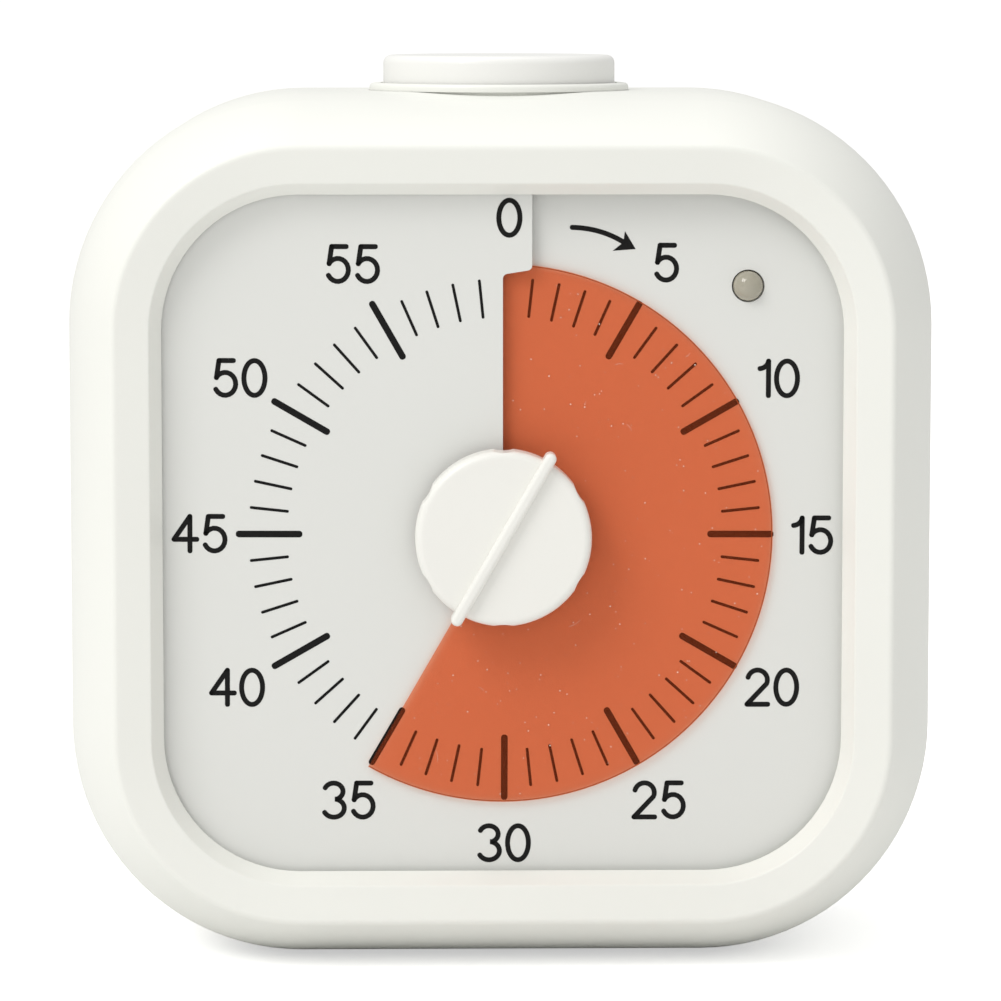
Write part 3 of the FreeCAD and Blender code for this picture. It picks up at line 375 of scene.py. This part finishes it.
@dataclass(frozen=True)
class Laminate:
    """Circuit board: lacquer over tracks, with a woven base."""

    name: str
    colour: Colour
    track: Colour
    track_scale: float = 190.0
    track_width: float = 0.035
    weave_scale: float = 5200.0

    def material(self) -> bpy.types.Material:
        """Makes the material."""
        graph = Graph.of_material(self.name)
        cells = graph.add("ShaderNodeTexVoronoi", {"distance": "MANHATTAN", "feature": "DISTANCE_TO_EDGE"},
                          {"Vector": graph.place(), "Scale": self.track_scale})
        tracks = cells < self.track_width
        weave = graph.noise(self.weave_scale, detail=1.0)
        return graph.finish(graph.principled(
            Base_Color=graph.blend(tracks, self.colour, self.track),
            Roughness=0.28 + weave * 0.12,
            Coat_Weight=0.4,
            Normal=graph.bump(tracks * 0.6 + weave * 0.2, strength=0.3, depth=0.00003)))


@dataclass(frozen=True)
class Sleeve:
    """Printed sleeve of a cell: a plain body and a band of another colour at the positive end."""

    name: str
    colour: Colour
    band: Colour
    band_start: float = 0.014
    scuff_scale: float = 900.0

    def material(self) -> bpy.types.Material:
        """Makes the material."""
        graph = Graph.of_material(self.name)
        tinted = graph.axis(0) > self.band_start
        scuff = graph.noise(self.scuff_scale, detail=5.0)
        return graph.finish(graph.principled(
            Base_Color=graph.blend(tinted, self.colour, self.band),
            Metallic=0.35,
            Roughness=0.24 + scuff * 0.2,
            Normal=graph.bump(scuff, strength=0.1, depth=0.00002)))


@dataclass(frozen=True)
class TintedFilm:
    """Thin clear plastic with a strong tint: most light passes, a little scatters at each face."""

    name: str
    body: Colour
    tint: Colour
    haze: float = 0.07
    rub_scale: float = 700.0
    streak: float = 0.12

    def material(self) -> bpy.types.Material:
        """Makes the material."""
        graph = Graph.of_material(self.name)
        rub = graph.noise(self.rub_scale, detail=6.0, stretch=(1.0, 1.0, 0.3))
        streak = (rub - 0.5) * self.streak
        shine = graph.principled(Base_Color=opaque(self.body), Roughness=0.3 + rub * 0.16,
                                 Normal=graph.bump(rub, strength=0.12, depth=0.00002))
        clear = graph.add("ShaderNodeBsdfTransparent", None, {0: opaque(self.tint)})
        return graph.finish(graph.add("ShaderNodeMixShader", None,
                                      {0: self.haze + streak * self.haze, 1: clear, 2: shine}))


@dataclass(frozen=True)
class PrintAndPaintedShade:
    """Flat ink with slightly uneven cover, for the screen print on the dial and for the painted shade line
    along the film's edge.
    """

    name: str
    colour: Colour
    cover_scale: float = 2400.0
    thinning: float = 0.006

    def material(self) -> bpy.types.Material:
        """Makes the material."""
        graph = Graph.of_material(self.name)
        cover = graph.noise(self.cover_scale, detail=4.0)
        thin = tuple(channel + self.thinning for channel in self.colour)
        return graph.finish(graph.principled(
            Base_Color=graph.blend(cover, self.colour, thin),
            Roughness=0.62 + cover * 0.15,
            Specular_IOR_Level=0.1,
            Normal=graph.bump(cover, strength=0.1, depth=0.00001)))


@dataclass(frozen=True)
class Resin:
    """Nearly clear cast resin with a warm cast."""

    name: str
    colour: Colour
    clearness: float = 0.55
    swirl_scale: float = 900.0
    deep: float = 0.85

    def material(self) -> bpy.types.Material:
        """Makes the material."""
        graph = Graph.of_material(self.name)
        swirl = graph.noise(self.swirl_scale, detail=3.0)
        deeper = tuple(channel * self.deep for channel in self.colour)
        return graph.finish(graph.principled(
            Base_Color=graph.blend(swirl, self.colour, deeper),
            Roughness=0.06 + swirl * 0.05,
            Transmission_Weight=self.clearness,
            IOR=1.5,
            Coat_Weight=0.3,
            Normal=graph.bump(swirl, strength=0.04, depth=0.00002)))


Finish = Union[Plastic, Metal, Winding, Laminate, Sleeve, TintedFilm, PrintAndPaintedShade, Resin]

CASE = Plastic("case_plastic", (0.88, 0.888, 0.842), 0.46, coat=0.08)
KNOB = Plastic("knob_plastic", (0.885, 0.882, 0.84), 0.38, grain=0.12, coat=0.15)
BUTTON = Plastic("button_plastic", (0.9, 0.9, 0.875), 0.4, grain=0.12, coat=0.1)
CARD = Plastic("dial_card", (0.76, 0.768, 0.742), 0.62, grain=0.1, grain_scale=4200.0, mottle=0.015)
CARRIER = Plastic("carrier_plastic", (0.72, 0.72, 0.71), 0.5)
ACETAL = Plastic("natural_acetal", (0.80, 0.80, 0.74), 0.42)
SHAFT = Plastic("shaft_plastic", (0.66, 0.66, 0.65), 0.36)
DARK = Plastic("movement_plastic", (0.018, 0.018, 0.02), 0.5)
BLACK = Plastic("black_plastic", (0.012, 0.012, 0.013), 0.42)
STEM = Plastic("stem_plastic", (0.09, 0.09, 0.1), 0.4)
STEEL = Metal("bright_steel", (0.60, 0.60, 0.62), 0.28)
FERRITE = Metal("dark_ferrite", (0.05, 0.05, 0.055), 0.5)
ALUMINIUM = Metal("plain_can", (0.72, 0.72, 0.73), 0.3, (0.05, 1.0, 1.0))
BRASS = Metal("sounder_brass", (0.72, 0.52, 0.22), 0.3)
COPPER = Winding("copper_winding", (0.72, 0.34, 0.14))
BOARD = Laminate("board_lacquer", (0.012, 0.09, 0.03), (0.03, 0.2, 0.07))
CELL = Sleeve("cell_sleeve", (0.05, 0.055, 0.07), (0.42, 0.44, 0.46))
FILM = TintedFilm("orange_film", (0.85, 0.18, 0.05), (0.972, 0.69, 0.57))
# Painted shade: a dark line laid on the film's front just inside its cut edge, standing in for the shade
# there.
PAINTED_RIM_SHADE = PrintAndPaintedShade("film_edge", (0.36, 0.07, 0.02))
DUST = Plastic("film_dust", (0.88, 0.74, 0.66), 0.7, mottle=0.2)
FIGURE_INK = PrintAndPaintedShade("figure_ink", (0.008, 0.008, 0.008))
TICK_INK = PrintAndPaintedShade("tick_ink", (0.006, 0.006, 0.006))
LAMP = Resin("clear_resin", (0.66, 0.62, 0.5), 0.35)


@dataclass
class Assembly:
    """Shared work of the sub-assemblies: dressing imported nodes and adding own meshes."""

    frame: dict[str, Any]
    made: dict[str, bpy.types.Material] = field(default_factory=dict)

    def joint(self, name: str) -> dict[str, Any]:
        """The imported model's joint of that name."""
        return next(joint for joint in self.frame["joints"] if joint["name"] == name)

    def dress(self, finish: Finish, *names: str) -> None:
        """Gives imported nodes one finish.

        Args:
            finish: The finish.
            names: The nodes' names.
        """
        for name in names:
            mesh = self.frame["nodes"][name].data
            mesh.materials.clear()
            mesh.materials.append(self.material(finish))

    def material(self, finish: Finish) -> bpy.types.Material:
        """The finish's material, made once for this sub-assembly."""
        if finish.name not in self.made:
            known = bpy.data.materials.get(finish.name)
            self.made[finish.name] = known if known and known.get("own") else finish.material()
            self.made[finish.name]["own"] = True
        return self.made[finish.name]

    def add(self, name: str, form: bmesh.types.BMesh, body: Body, slot: Slot,
            finish: Finish) -> bpy.types.Object:
        """Turns a built form into an object that rides on a body.

        Args:
            name: The piece's name.
            form: The built form, which is freed.
            body: The body it moves with.
            slot: Not used.
            finish: Its look.

        Returns:
            The object.
        """
        bmesh.ops.recalc_face_normals(form, faces=form.faces)
        mesh = bpy.data.meshes.new(name)
        form.to_mesh(mesh)
        form.free()
        piece = bpy.data.objects.new(name, mesh)
        bpy.context.scene.collection.objects.link(piece)
        mesh.materials.append(self.material(finish))
        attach(piece, body.value)
        return piece


def edge_pairs(path: Sequence[Point], radius: float, closed: bool) -> list[tuple[Point, Point]]:
    """Left and right edge points along a stroke's middle line.

    Args:
        path: The middle line.
        radius: Half the stroke's width.
        closed: Whether the line closes on itself. An open one gets round ends.

    Returns:
        The pairs in order.
    """
    count, pairs = len(path), []
    for place in range(count):
        before = path[place - 1] if closed or place else path[place]
        after = path[(place + 1) % count] if closed or place + 1 < count else path[place]
        along = (Vector(after) - Vector(before)).normalized()
        side = Vector((-along.y, along.x)) * radius
        round_end = not closed and place in (0, count - 1)
        turns = [math.pi / 2 * step / CAP_STEPS for step in range(CAP_STEPS if round_end else 1)]
        steps = [(math.sin(turn), math.cos(turn)) for turn in turns]
        if round_end and place == 0:
            steps = [(-reach, share) for reach, share in reversed(steps)]
        for reach, share in steps:
            middle = Vector(path[place]) + along * radius * reach
            pairs.append((tuple(middle + side * share), tuple(middle - side * share)))
    return pairs


def bridge(form: bmesh.types.BMesh, first: Sequence[bmesh.types.BMVert],
           second: Sequence[bmesh.types.BMVert]) -> None:
    """Joins two loops of points with a band of faces."""
    for place in range(len(first)):
        following = (place + 1) % len(first)
        form.faces.new((first[place], first[following], second[following], second[place]))


@dataclass(frozen=True)
class Face:
    """Face of the dial that ink, tint and dust lie on, in millimetres from the dial's middle."""

    middle: float
    depth: Callable[[float, float], float]

    def point(self, form: bmesh.types.BMesh, spot: Point, lift: float) -> bmesh.types.BMVert:
        """Adds a point that stands off the face by the lift."""
        x, h = spot
        return form.verts.new((x * MM, (self.depth(x, h) - lift) * MM, (h + self.middle) * MM))

    def stroke(self, form: bmesh.types.BMesh, path: Sequence[Point], width: float, lift: float,
               closed: bool = False) -> None:
        """Adds a flat strip of even width.

        Args:
            form: The form that takes it.
            path: Its middle line.
            width: Its full width.
            lift: How far it stands off the face.
            closed: Whether the path closes on itself. An open one gets round ends.
        """
        rings = []
        for left, right in edge_pairs(path, width / 2, closed):
            corners = ((left, lift), (right, lift), (right, 0.0), (left, 0.0))
            rings.append([self.point(form, spot, height) for spot, height in corners])
        for first, second in zip(rings, rings[1:]):
            bridge(form, first, second)
        if closed:
            bridge(form, rings[-1], rings[0])
        else:
            form.faces.new(rings[0])
            form.faces.new(rings[-1])

    def patch(self, form: bmesh.types.BMesh, corners: Sequence[Point], lift: float) -> None:
        """Adds a flat shape.

        Args:
            form: The form that takes it.
            corners: Its outline.
            lift: How far it stands off the face.
        """
        upper, lower = ([self.point(form, spot, height) for spot in corners] for height in (lift, 0.0))
        form.faces.new(upper)
        form.faces.new(lower)
        bridge(form, upper, lower)


def bow(centre: Point, reach: Point, start: float, end: float, steps: int = 18) -> list[Point]:
    """Points along an arc of an oval, with angles in degrees from the right, counter-clockwise."""
    angles = [math.radians(start + (end - start) * step / steps) for step in range(steps + 1)]
    return [(centre[0] + reach[0] * math.cos(a), centre[1] + reach[1] * math.sin(a)) for a in angles]


@dataclass(frozen=True)
class Glyphs:
    """Strokes of the light rounded figures, in a box 3.4 high about its middle."""

    half_height: float = 1.7
    half_width: float = 1.03
    one_width: float = 0.87

    def strokes(self, figure: str) -> list[tuple[list[Point], bool]]:
        """Strokes of one figure, each with whether it closes on itself."""
        top, wide = self.half_height, self.half_width
        if figure == "0":
            return [(bow((0, 0), (wide, top), 0, 350, 35), True)]
        if figure == "1":
            flag = bow((-0.5, top + 0.1), (0.93, 0.85), -85, -8, 8)
            return [(flag, False), ([(0.43, top), (0.43, -top)], False)]
        if figure == "2":
            hook = bow((0, top - 0.98), (wide - 0.06, 0.98), 165, -22)
            return [(hook + [(-wide, -top)], False), ([(-wide, -top), (wide, -top)], False)]
        if figure == "3":
            upper = bow((-0.04, 0.88), (0.92, top - 0.88), 155, -78)
            lower = bow((-0.02, -0.79), (wide, top - 0.79), 85, -152)
            return [(upper + lower, False)]
        if figure == "4":
            return [([(0.42, -top), (0.42, top)], False), ([(0.42, top), (-1.14, -0.56)], False),
                    ([(-1.14, -0.56), (1.1, -0.56)], False)]
        bowl = bow((-0.02, -0.58), (wide, top - 0.58), 146, -152)
        return [([(0.8, top), (-0.62, top)], False), ([(-0.62, top), (-0.86, 0.02)], False), (bowl, False)]

    def width(self, figure: str) -> float:
        """Width of one figure's middle lines."""
        return self.one_width if figure == "1" else 2 * self.half_width


@dataclass(frozen=True)
class DialLayout:
    """Spiral of the dial, in millimetres from its middle.

    The card starts at zero and comes nearer to the viewer clockwise, by one pitch in a turn. Its last
    sector ends in a tab beside the zero. The film is a turn of the same pitch that passes between them.
    """

    middle: float
    film_r: float
    start_y: float
    pitch: float
    shown: float
    half_card: float = 0.2
    half_film: float = 0.1
    tab_low: float = 25.5
    tab_x: float = 2.85
    cut_play: float = 0.001

    @classmethod
    def read(cls, shown: float) -> DialLayout:
        """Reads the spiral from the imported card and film.

        Args:
            shown: Angle of film on show, in degrees.

        Returns:
            The layout.
        """
        film_low, film_high = (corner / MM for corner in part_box("time_film"))
        card_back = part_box("dial_sheet")[1].y / MM
        return cls(
            middle=(film_low.z + film_high.z) / 2,
            film_r=(film_high.x - film_low.x) / 2,
            start_y=card_back - cls.half_card,
            pitch=film_high.y - film_low.y - 2 * cls.half_film,
            shown=shown)

    def card_depth(self, x: float, h: float) -> float:
        """Depth of the card's printed face, which is continuous from the last sector to the tab."""
        turn = math.degrees(math.atan2(x, h)) % FULL_TURN
        if 0.0 <= x <= self.tab_x and h > self.tab_low:
            turn += FULL_TURN
        return self.start_y - self.pitch * turn / FULL_TURN - self.half_card

    def film_depth(self, x: float, h: float) -> float:
        """Depth of the film's front face."""
        turn = math.degrees(math.atan2(x, h)) % FULL_TURN
        if turn > self.shown + self.cut_play:
            turn -= FULL_TURN
        return self.start_y - self.pitch * (turn / FULL_TURN + 0.5) - self.half_film

    @property
    def card(self) -> Face:
        """The card's printed face."""
        return Face(self.middle, self.card_depth)

    @property
    def film(self) -> Face:
        """The film's front face."""
        return Face(self.middle, self.film_depth)


@dataclass
class CaseShell(Assembly):
    """Bezel, rear housing, battery door and the screws that close the case."""

    def build(self) -> None:
        """Dresses the case's pieces."""
        self.dress(CASE, "front_bezel", "rear_housing", "battery_door")
        self.dress(STEEL, "case_screws")


@dataclass
class DialPiece(Assembly):
    """What the card and the film share: the dial's layout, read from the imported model."""

    layout: DialLayout = field(init=False)

    def __post_init__(self) -> None:
        """Reads the layout, with the film shown up to the knob's angle from zero."""
        self.layout = DialLayout.read(-self.joint("knob_turn")["range_deg"][0])


@dataclass
class Dial(DialPiece):
    """Printed card and its carrier, with ticks, figures and the arrow as thin ink."""

    glyphs: Glyphs = Glyphs()
    print_x: float = 0.23
    print_turn: float = 0.2
    minor: Triple = (21.3, 25.15, 0.28)
    major: Triple = (19.85, 26.4, 0.65)
    figure_places: tuple[Point, ...] = (
        (0.29, 31.03), (15.66, 26.63), (26.74, 15.33), (30.18, -0.1),
        (26.35, -15.17), (15.27, -26.4), (-0.04, -30.67), (-15.35, -26.4),
        (-26.24, -15.17), (-29.87, 0.03), (-25.95, 15.33), (-14.96, 26.48))
    tick_steps: int = 6
    stroke: float = 0.49
    gap: float = 0.78
    ink_height: float = 0.02
    arrow_steps: int = 14
    head_height: float = 0.022
    arrow_line: tuple[Point, ...] = ((6.45, 30.05), (9.3, 30.0), (11.6, 28.55))
    arrow_head: tuple[Point, ...] = ((12.66, 27.95), (11.6, 29.7), (11.45, 28.6), (10.42, 27.78))

    def printed(self, x: float, h: float) -> Point:
        """Place on the card of a point of the print, which sits slightly right and turned."""
        turn = math.radians(self.print_turn)
        return (x * math.cos(turn) + h * math.sin(turn) + self.print_x,
                h * math.cos(turn) - x * math.sin(turn))

    def around(self, radius: float, angle: float) -> Point:
        """Place on the card at a radius and a clockwise angle from the top."""
        turn = math.radians(angle)
        return self.printed(radius * math.sin(turn), radius * math.cos(turn))

    def ticks(self, minutes: Iterable[int], size: Triple) -> bmesh.types.BMesh:
        """Radial strokes at the given minutes.

        Args:
            minutes: Where to draw them.
            size: Inner radius, outer radius and width.

        Returns:
            The built form.
        """
        form = bmesh.new()
        inner, outer, width = size
        for minute in minutes:
            near, far = inner + width / 2, outer - width / 2
            radii = [near + (far - near) * step / self.tick_steps for step in range(self.tick_steps + 1)]
            path = [self.around(radius, minute * MINUTE_TURN) for radius in radii]
            self.layout.card.stroke(form, path, width, self.ink_height)
        return form

    def figures(self) -> bmesh.types.BMesh:
        """The twelve numbers from 0 to 55."""
        form = bmesh.new()
        for step, (across, up) in enumerate(self.figure_places):
            label = str(5 * step)
            widths = [self.glyphs.width(figure) for figure in label]
            left = across - (sum(widths) + self.gap * (len(label) - 1)) / 2
            for figure, width in zip(label, widths):
                for path, closed in self.glyphs.strokes(figure):
                    spots = [self.printed(left + width / 2 + x, up + h) for x, h in path]
                    self.layout.card.stroke(form, spots, self.stroke, self.ink_height, closed)
                left += width + self.gap
        return form

    def arrow(self) -> bmesh.types.BMesh:
        """Curved arrow between the first two numbers."""
        form = bmesh.new()
        first, bend, last = (Vector(spot) for spot in self.arrow_line)
        shares = [step / self.arrow_steps for step in range(self.arrow_steps + 1)]
        curve = [first * (1 - s) ** 2 + bend * 2 * s * (1 - s) + last * s ** 2 for s in shares]
        path = [self.printed(*spot) for spot in curve]
        self.layout.card.stroke(form, path, self.stroke, self.ink_height)
        head = [self.printed(*corner) for corner in self.arrow_head]
        self.layout.card.patch(form, head, self.head_height)
        return form

    def build(self) -> None:
        """Dresses the card and prints on it."""
        self.dress(CARD, "dial_sheet")
        self.dress(CARRIER, "dial_carrier")
        fives, rest = range(5, 60, 5), [m for m in range(1, 60) if m % 5]
        self.add("minor_ticks", self.ticks(rest, self.minor), Body.HOUSING, Slot.DIAL, TICK_INK)
        self.add("major_ticks", self.ticks(fives, self.major), Body.HOUSING, Slot.DIAL, FIGURE_INK)
        self.add("dial_figures", self.figures(), Body.HOUSING, Slot.DIAL, FIGURE_INK)
        self.add("turn_arrow", self.arrow(), Body.HOUSING, Slot.DIAL, FIGURE_INK)


@dataclass
class TimeFilm(DialPiece):
    """Tinted disc, its hub, a line of painted shade along its outer edge and the dust on it."""

    edge_width: float = 0.1
    edge_height: float = 0.01
    edge_steps: int = 140
    open_at_zero: float = 0.3
    open_before_lead: float = 0.2
    open_after_lead: float = 0.6
    specks: int = 170
    speck_r: tuple[float, float] = (0.03, 0.075)
    speck_sides: int = 8
    speck_uneven: tuple[float, float] = (0.7, 1.2)
    speck_height: float = 0.012
    scratches: int = 6
    scratch_length: tuple[float, float] = (0.4, 1.5)
    scratch_steps: int = 5
    scratch_bend: float = 0.08
    scratch_width: float = 0.018
    scratch_height: float = 0.006
    dusty_from_r: float = 9.6
    clean_edge: float = 0.6
    clean_angle: float = 4.0
    seed: int = 7

    def rim(self) -> bmesh.types.BMesh:
        """Thin line of painted shade just inside the outer edge, left open at zero and at the leading edge.
        """
        form = bmesh.new()
        radius, shown = self.layout.film_r - self.edge_width, self.layout.shown
        shares = [step / self.edge_steps for step in range(self.edge_steps + 1)]
        on_show = (self.open_at_zero, shown - self.open_before_lead)
        behind = (shown + self.open_after_lead, FULL_TURN - self.open_at_zero)
        for start, end in (on_show, behind):
            angles = [math.radians(start + (end - start) * share) for share in shares]
            path = [(radius * math.sin(a), radius * math.cos(a)) for a in angles]
            self.layout.film.stroke(form, path, self.edge_width, self.edge_height)
        return form

    def speck(self, form: bmesh.types.BMesh, draw: random.Random, x: float, h: float) -> None:
        """Adds one uneven round speck."""
        size = draw.uniform(*self.speck_r)
        corners = []
        for side in range(self.speck_sides):
            turn = side * 2 * math.pi / self.speck_sides
            across = x + size * math.cos(turn) * draw.uniform(*self.speck_uneven)
            corners.append((across, h + size * math.sin(turn) * draw.uniform(*self.speck_uneven)))
        self.layout.film.patch(form, corners, self.speck_height)

    def scratch(self, form: bmesh.types.BMesh, draw: random.Random, x: float, h: float) -> None:
        """Adds one short bent scratch."""
        way, length = draw.uniform(0.0, math.pi), draw.uniform(*self.scratch_length)
        path = []
        for step in range(self.scratch_steps + 1):
            along, heading = length * step / self.scratch_steps, way + self.scratch_bend * step
            path.append((x + along * math.cos(heading), h + along * math.sin(heading)))
        self.layout.film.stroke(form, path, self.scratch_width, self.scratch_height)

    def dust(self) -> bmesh.types.BMesh:
        """Specks and short fine scratches on the shown part."""
        form, draw = bmesh.new(), random.Random(self.seed)
        reach = (self.dusty_from_r ** 2, (self.layout.film_r - self.clean_edge) ** 2)
        for mark in range(self.specks + self.scratches):
            radius = math.sqrt(draw.uniform(*reach))
            angle = math.radians(draw.uniform(self.clean_angle, self.layout.shown - self.clean_angle))
            add = self.speck if mark < self.specks else self.scratch
            add(form, draw, radius * math.sin(angle), radius * math.cos(angle))
        return form

    def build(self) -> None:
        """Dresses the film and its hub, then adds the painted edge shade line and the dust."""
        self.dress(FILM, "time_film", "film_hub")
        # Painted shade along the film's outer edge.
        self.add("film_edge_line", self.rim(), Body.FILM, Slot.FILM, PAINTED_RIM_SHADE)
        self.add("film_dust_specks", self.dust(), Body.FILM, Slot.FILM, DUST)


@dataclass
class SettingKnob(Assembly):
    """Knob with its shaft."""

    def build(self) -> None:
        """Dresses the knob and the shaft."""
        self.dress(KNOB, "setting_knob")
        self.dress(SHAFT, "knob_shaft")


@dataclass
class SignalLamp(Assembly):
    """Clear lamp in its holder."""

    def build(self) -> None:
        """Dresses the lamp and its holder."""
        self.dress(LAMP, "signal_lamp")
        self.dress(CARRIER, "lamp_holder")


@dataclass
class AlarmButton(Assembly):
    """Cap, post, clip and spring, with the collar they move in."""

    def spring(self) -> None:
        """Copies the spring as an own mesh that stands in for the imported one, which is hidden."""
        packed, form = self.frame["nodes"]["button_spring"], bmesh.new()
        form.from_mesh(packed.data)
        form.transform(packed.matrix_world)
        heights = [vert.co.z for vert in form.verts]
        foot, length = min(heights), max(heights) - min(heights)
        coil = self.add("button_spring_coil", form, Body.HOUSING, Slot.STEEL, STEEL)
        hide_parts("button_spring")
        travel = self.joint("button_press")["range_m"][1]
        1.0 - travel / length
        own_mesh(coil)

    def build(self) -> None:
        """Dresses the button's pieces and adds the spring."""
        self.dress(BUTTON, "button_cap", "button_post")
        self.dress(CASE, "button_collar")
        self.dress(STEEL, "post_clip")
        self.spring()


@dataclass
class Movement(Assembly):
    """Plates, wheel train and stepping motor."""

    def build(self) -> None:
        """Dresses the movement's pieces."""
        self.dress(DARK, "movement_plate", "movement_cover")
        self.dress(ACETAL, "output_wheel", "idler_wheel", "idler_pinion", "rotor_pinion", "coil_bobbin")
        self.dress(STEEL, "idler_arbor", "rotor_arbor", "motor_stator", "coil_core", "movement_screws")
        self.dress(FERRITE, "rotor_magnet")
        self.dress(COPPER, "motor_coil")


@dataclass
class Electronics(Assembly):
    """Board with its parts, the push switch, the sounder and the volume switch."""

    def build(self) -> None:
        """Dresses the electrical pieces."""
        self.dress(BOARD, "circuit_board")
        self.dress(BLACK, "control_chip", "switch_body", "buzzer_case", "volume_switch", "volume_slider")
        self.dress(ALUMINIUM, "quartz_crystal", "supply_capacitor")
        self.dress(STEM, "switch_plunger")
        self.dress(BRASS, "buzzer_disc")
        self.dress(STEEL, "buzzer_pins", "volume_pins", "board_screws")


@dataclass
class PowerBay(Assembly):
    """Cell, cradle and contacts."""

    def build(self) -> None:
        """Dresses the bay's pieces."""
        self.dress(CELL, "battery_cell")
        self.dress(CARRIER, "battery_cradle")
        self.dress(STEEL, "contact_positive", "contact_negative")


@dataclass(frozen=True)
class SoftLight:
    """Square soft light: its place and side in metres and its power in watts."""

    name: str
    place: Triple
    power: float
    size: float
    colour: Colour

    def hang(self, target: Triple) -> None:
        """Adds the light, turned to the target."""
        lamp = bpy.data.lights.new(self.name, "AREA")
        lamp.energy, lamp.size, lamp.color = self.power, self.size, self.colour
        holder = bpy.data.objects.new(self.name, lamp)
        holder.location = self.place
        aim = Vector(target) - Vector(self.place)
        holder.rotation_euler = aim.to_track_quat("-Z", "Y").to_euler()
        bpy.context.scene.collection.objects.link(holder)


@dataclass
class Studio:
    """Pale floor, two soft lights, even fill and the camera."""

    floor_half: float = 40.0
    floor_sag: float = 0.004
    floor_colour: Colour = (0.92, 0.92, 0.915)
    floor_glow: float = 0.5
    fibre_scale: float = 400.0
    fill: float = 0.63
    fill_colour: Colour = (1.0, 0.998, 0.99)
    key: SoftLight = SoftLight("key_light", (-0.68, -0.66, 0.92), 6.6, 0.62, (1.0, 0.985, 0.96))
    top: SoftLight = SoftLight("top_light", (-0.1, 0.06, 0.98), 2.3, 0.8, (1.0, 1.0, 0.99))
    target: Triple = (0.0, 0.0, 0.043)
    distance: float = 0.5016
    azimuth: float = -1.1
    elevation: float = 6.13
    focal_pixels: float = 4950.0
    picture: float = 1001.0
    sensor: float = 36.0
    centre: Point = (499.6, 516.4)

    def floor(self) -> None:
        """Lays a large gently domed sheet under the timer."""
        form = bmesh.new()
        bmesh.ops.create_grid(form, x_segments=24, y_segments=24, size=self.floor_half)
        for vert in form.verts:
            vert.co.z = -self.floor_sag * (vert.co.length / self.floor_half) ** 2
        mesh = bpy.data.meshes.new("studio_floor")
        form.to_mesh(mesh)
        form.free()
        floor = bpy.data.objects.new("studio_floor", mesh)
        bpy.context.scene.collection.objects.link(floor)
        graph = Graph.of_material("studio_paper")
        fibre = graph.noise(self.fibre_scale, detail=4.0)
        seen = graph.add("ShaderNodeLightPath")
        darker = tuple(channel - 0.01 for channel in self.floor_colour)
        mesh.materials.append(graph.finish(graph.principled(
            Base_Color=graph.blend(fibre, self.floor_colour, darker),
            Roughness=0.85 + fibre * 0.1,
            Emission_Color=graph.blend(seen, (0.0, 0.0, 0.0), (1.0, 1.0, 1.0)),
            Emission_Strength=self.floor_glow)))

    def world(self) -> None:
        """Even fill, seen as white by the camera."""
        graph = Graph(bpy.data.worlds.new("studio_fill"))
        seen = graph.add("ShaderNodeLightPath")
        strength = graph.add("ShaderNodeMix", None, {0: seen, 2: self.fill, 3: 1.0})
        shade = graph.add("ShaderNodeBackground", None,
                          {"Color": opaque(self.fill_colour), "Strength": strength})
        graph.add("ShaderNodeOutputWorld", None, {"Surface": shade})
        bpy.context.scene.world = graph.owner

    def camera(self) -> None:
        """Places the long lens a little above the dial's middle."""
        turn, rise = math.radians(self.azimuth), math.radians(self.elevation)
        back = Vector((math.sin(turn) * math.cos(rise), -math.cos(turn) * math.cos(rise), math.sin(rise)))
        lens = bpy.data.cameras.new("product_camera")
        lens.sensor_width = self.sensor
        lens.lens = self.focal_pixels * self.sensor / self.picture
        lens.shift_x = (self.picture / 2 - self.centre[0]) / self.picture
        lens.shift_y = (self.centre[1] - self.picture / 2) / self.picture
        lens.clip_start, lens.clip_end = 0.01, 100.0
        holder = bpy.data.objects.new("product_camera", lens)
        holder.location = Vector(self.target) + back * self.distance
        holder.rotation_euler = (-back).to_track_quat("-Z", "Y").to_euler()
        bpy.context.scene.collection.objects.link(holder)
        bpy.context.scene.camera = holder

    def build(self) -> None:
        """Sets up the studio."""
        self.floor()
        self.world()
        self.key.hang(self.target)
        self.top.hang(self.target)
        self.camera()
        bpy.context.scene.view_settings.view_transform = "Standard"


def main() -> None:
    """Builds every sub-assembly in order, then the studio."""
    logging.basicConfig(level=logging.INFO, format="%(name)s: %(message)s")
    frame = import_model()
    for kind in (CaseShell, Dial, TimeFilm, SettingKnob, SignalLamp, AlarmButton, Movement, Electronics,
                 PowerBay):
        kind(frame).build()
        LOG.info("built %s", kind.__name__)
    Studio().build()
    LOG.info("built Studio")


if __name__ == "__main__":
    main()
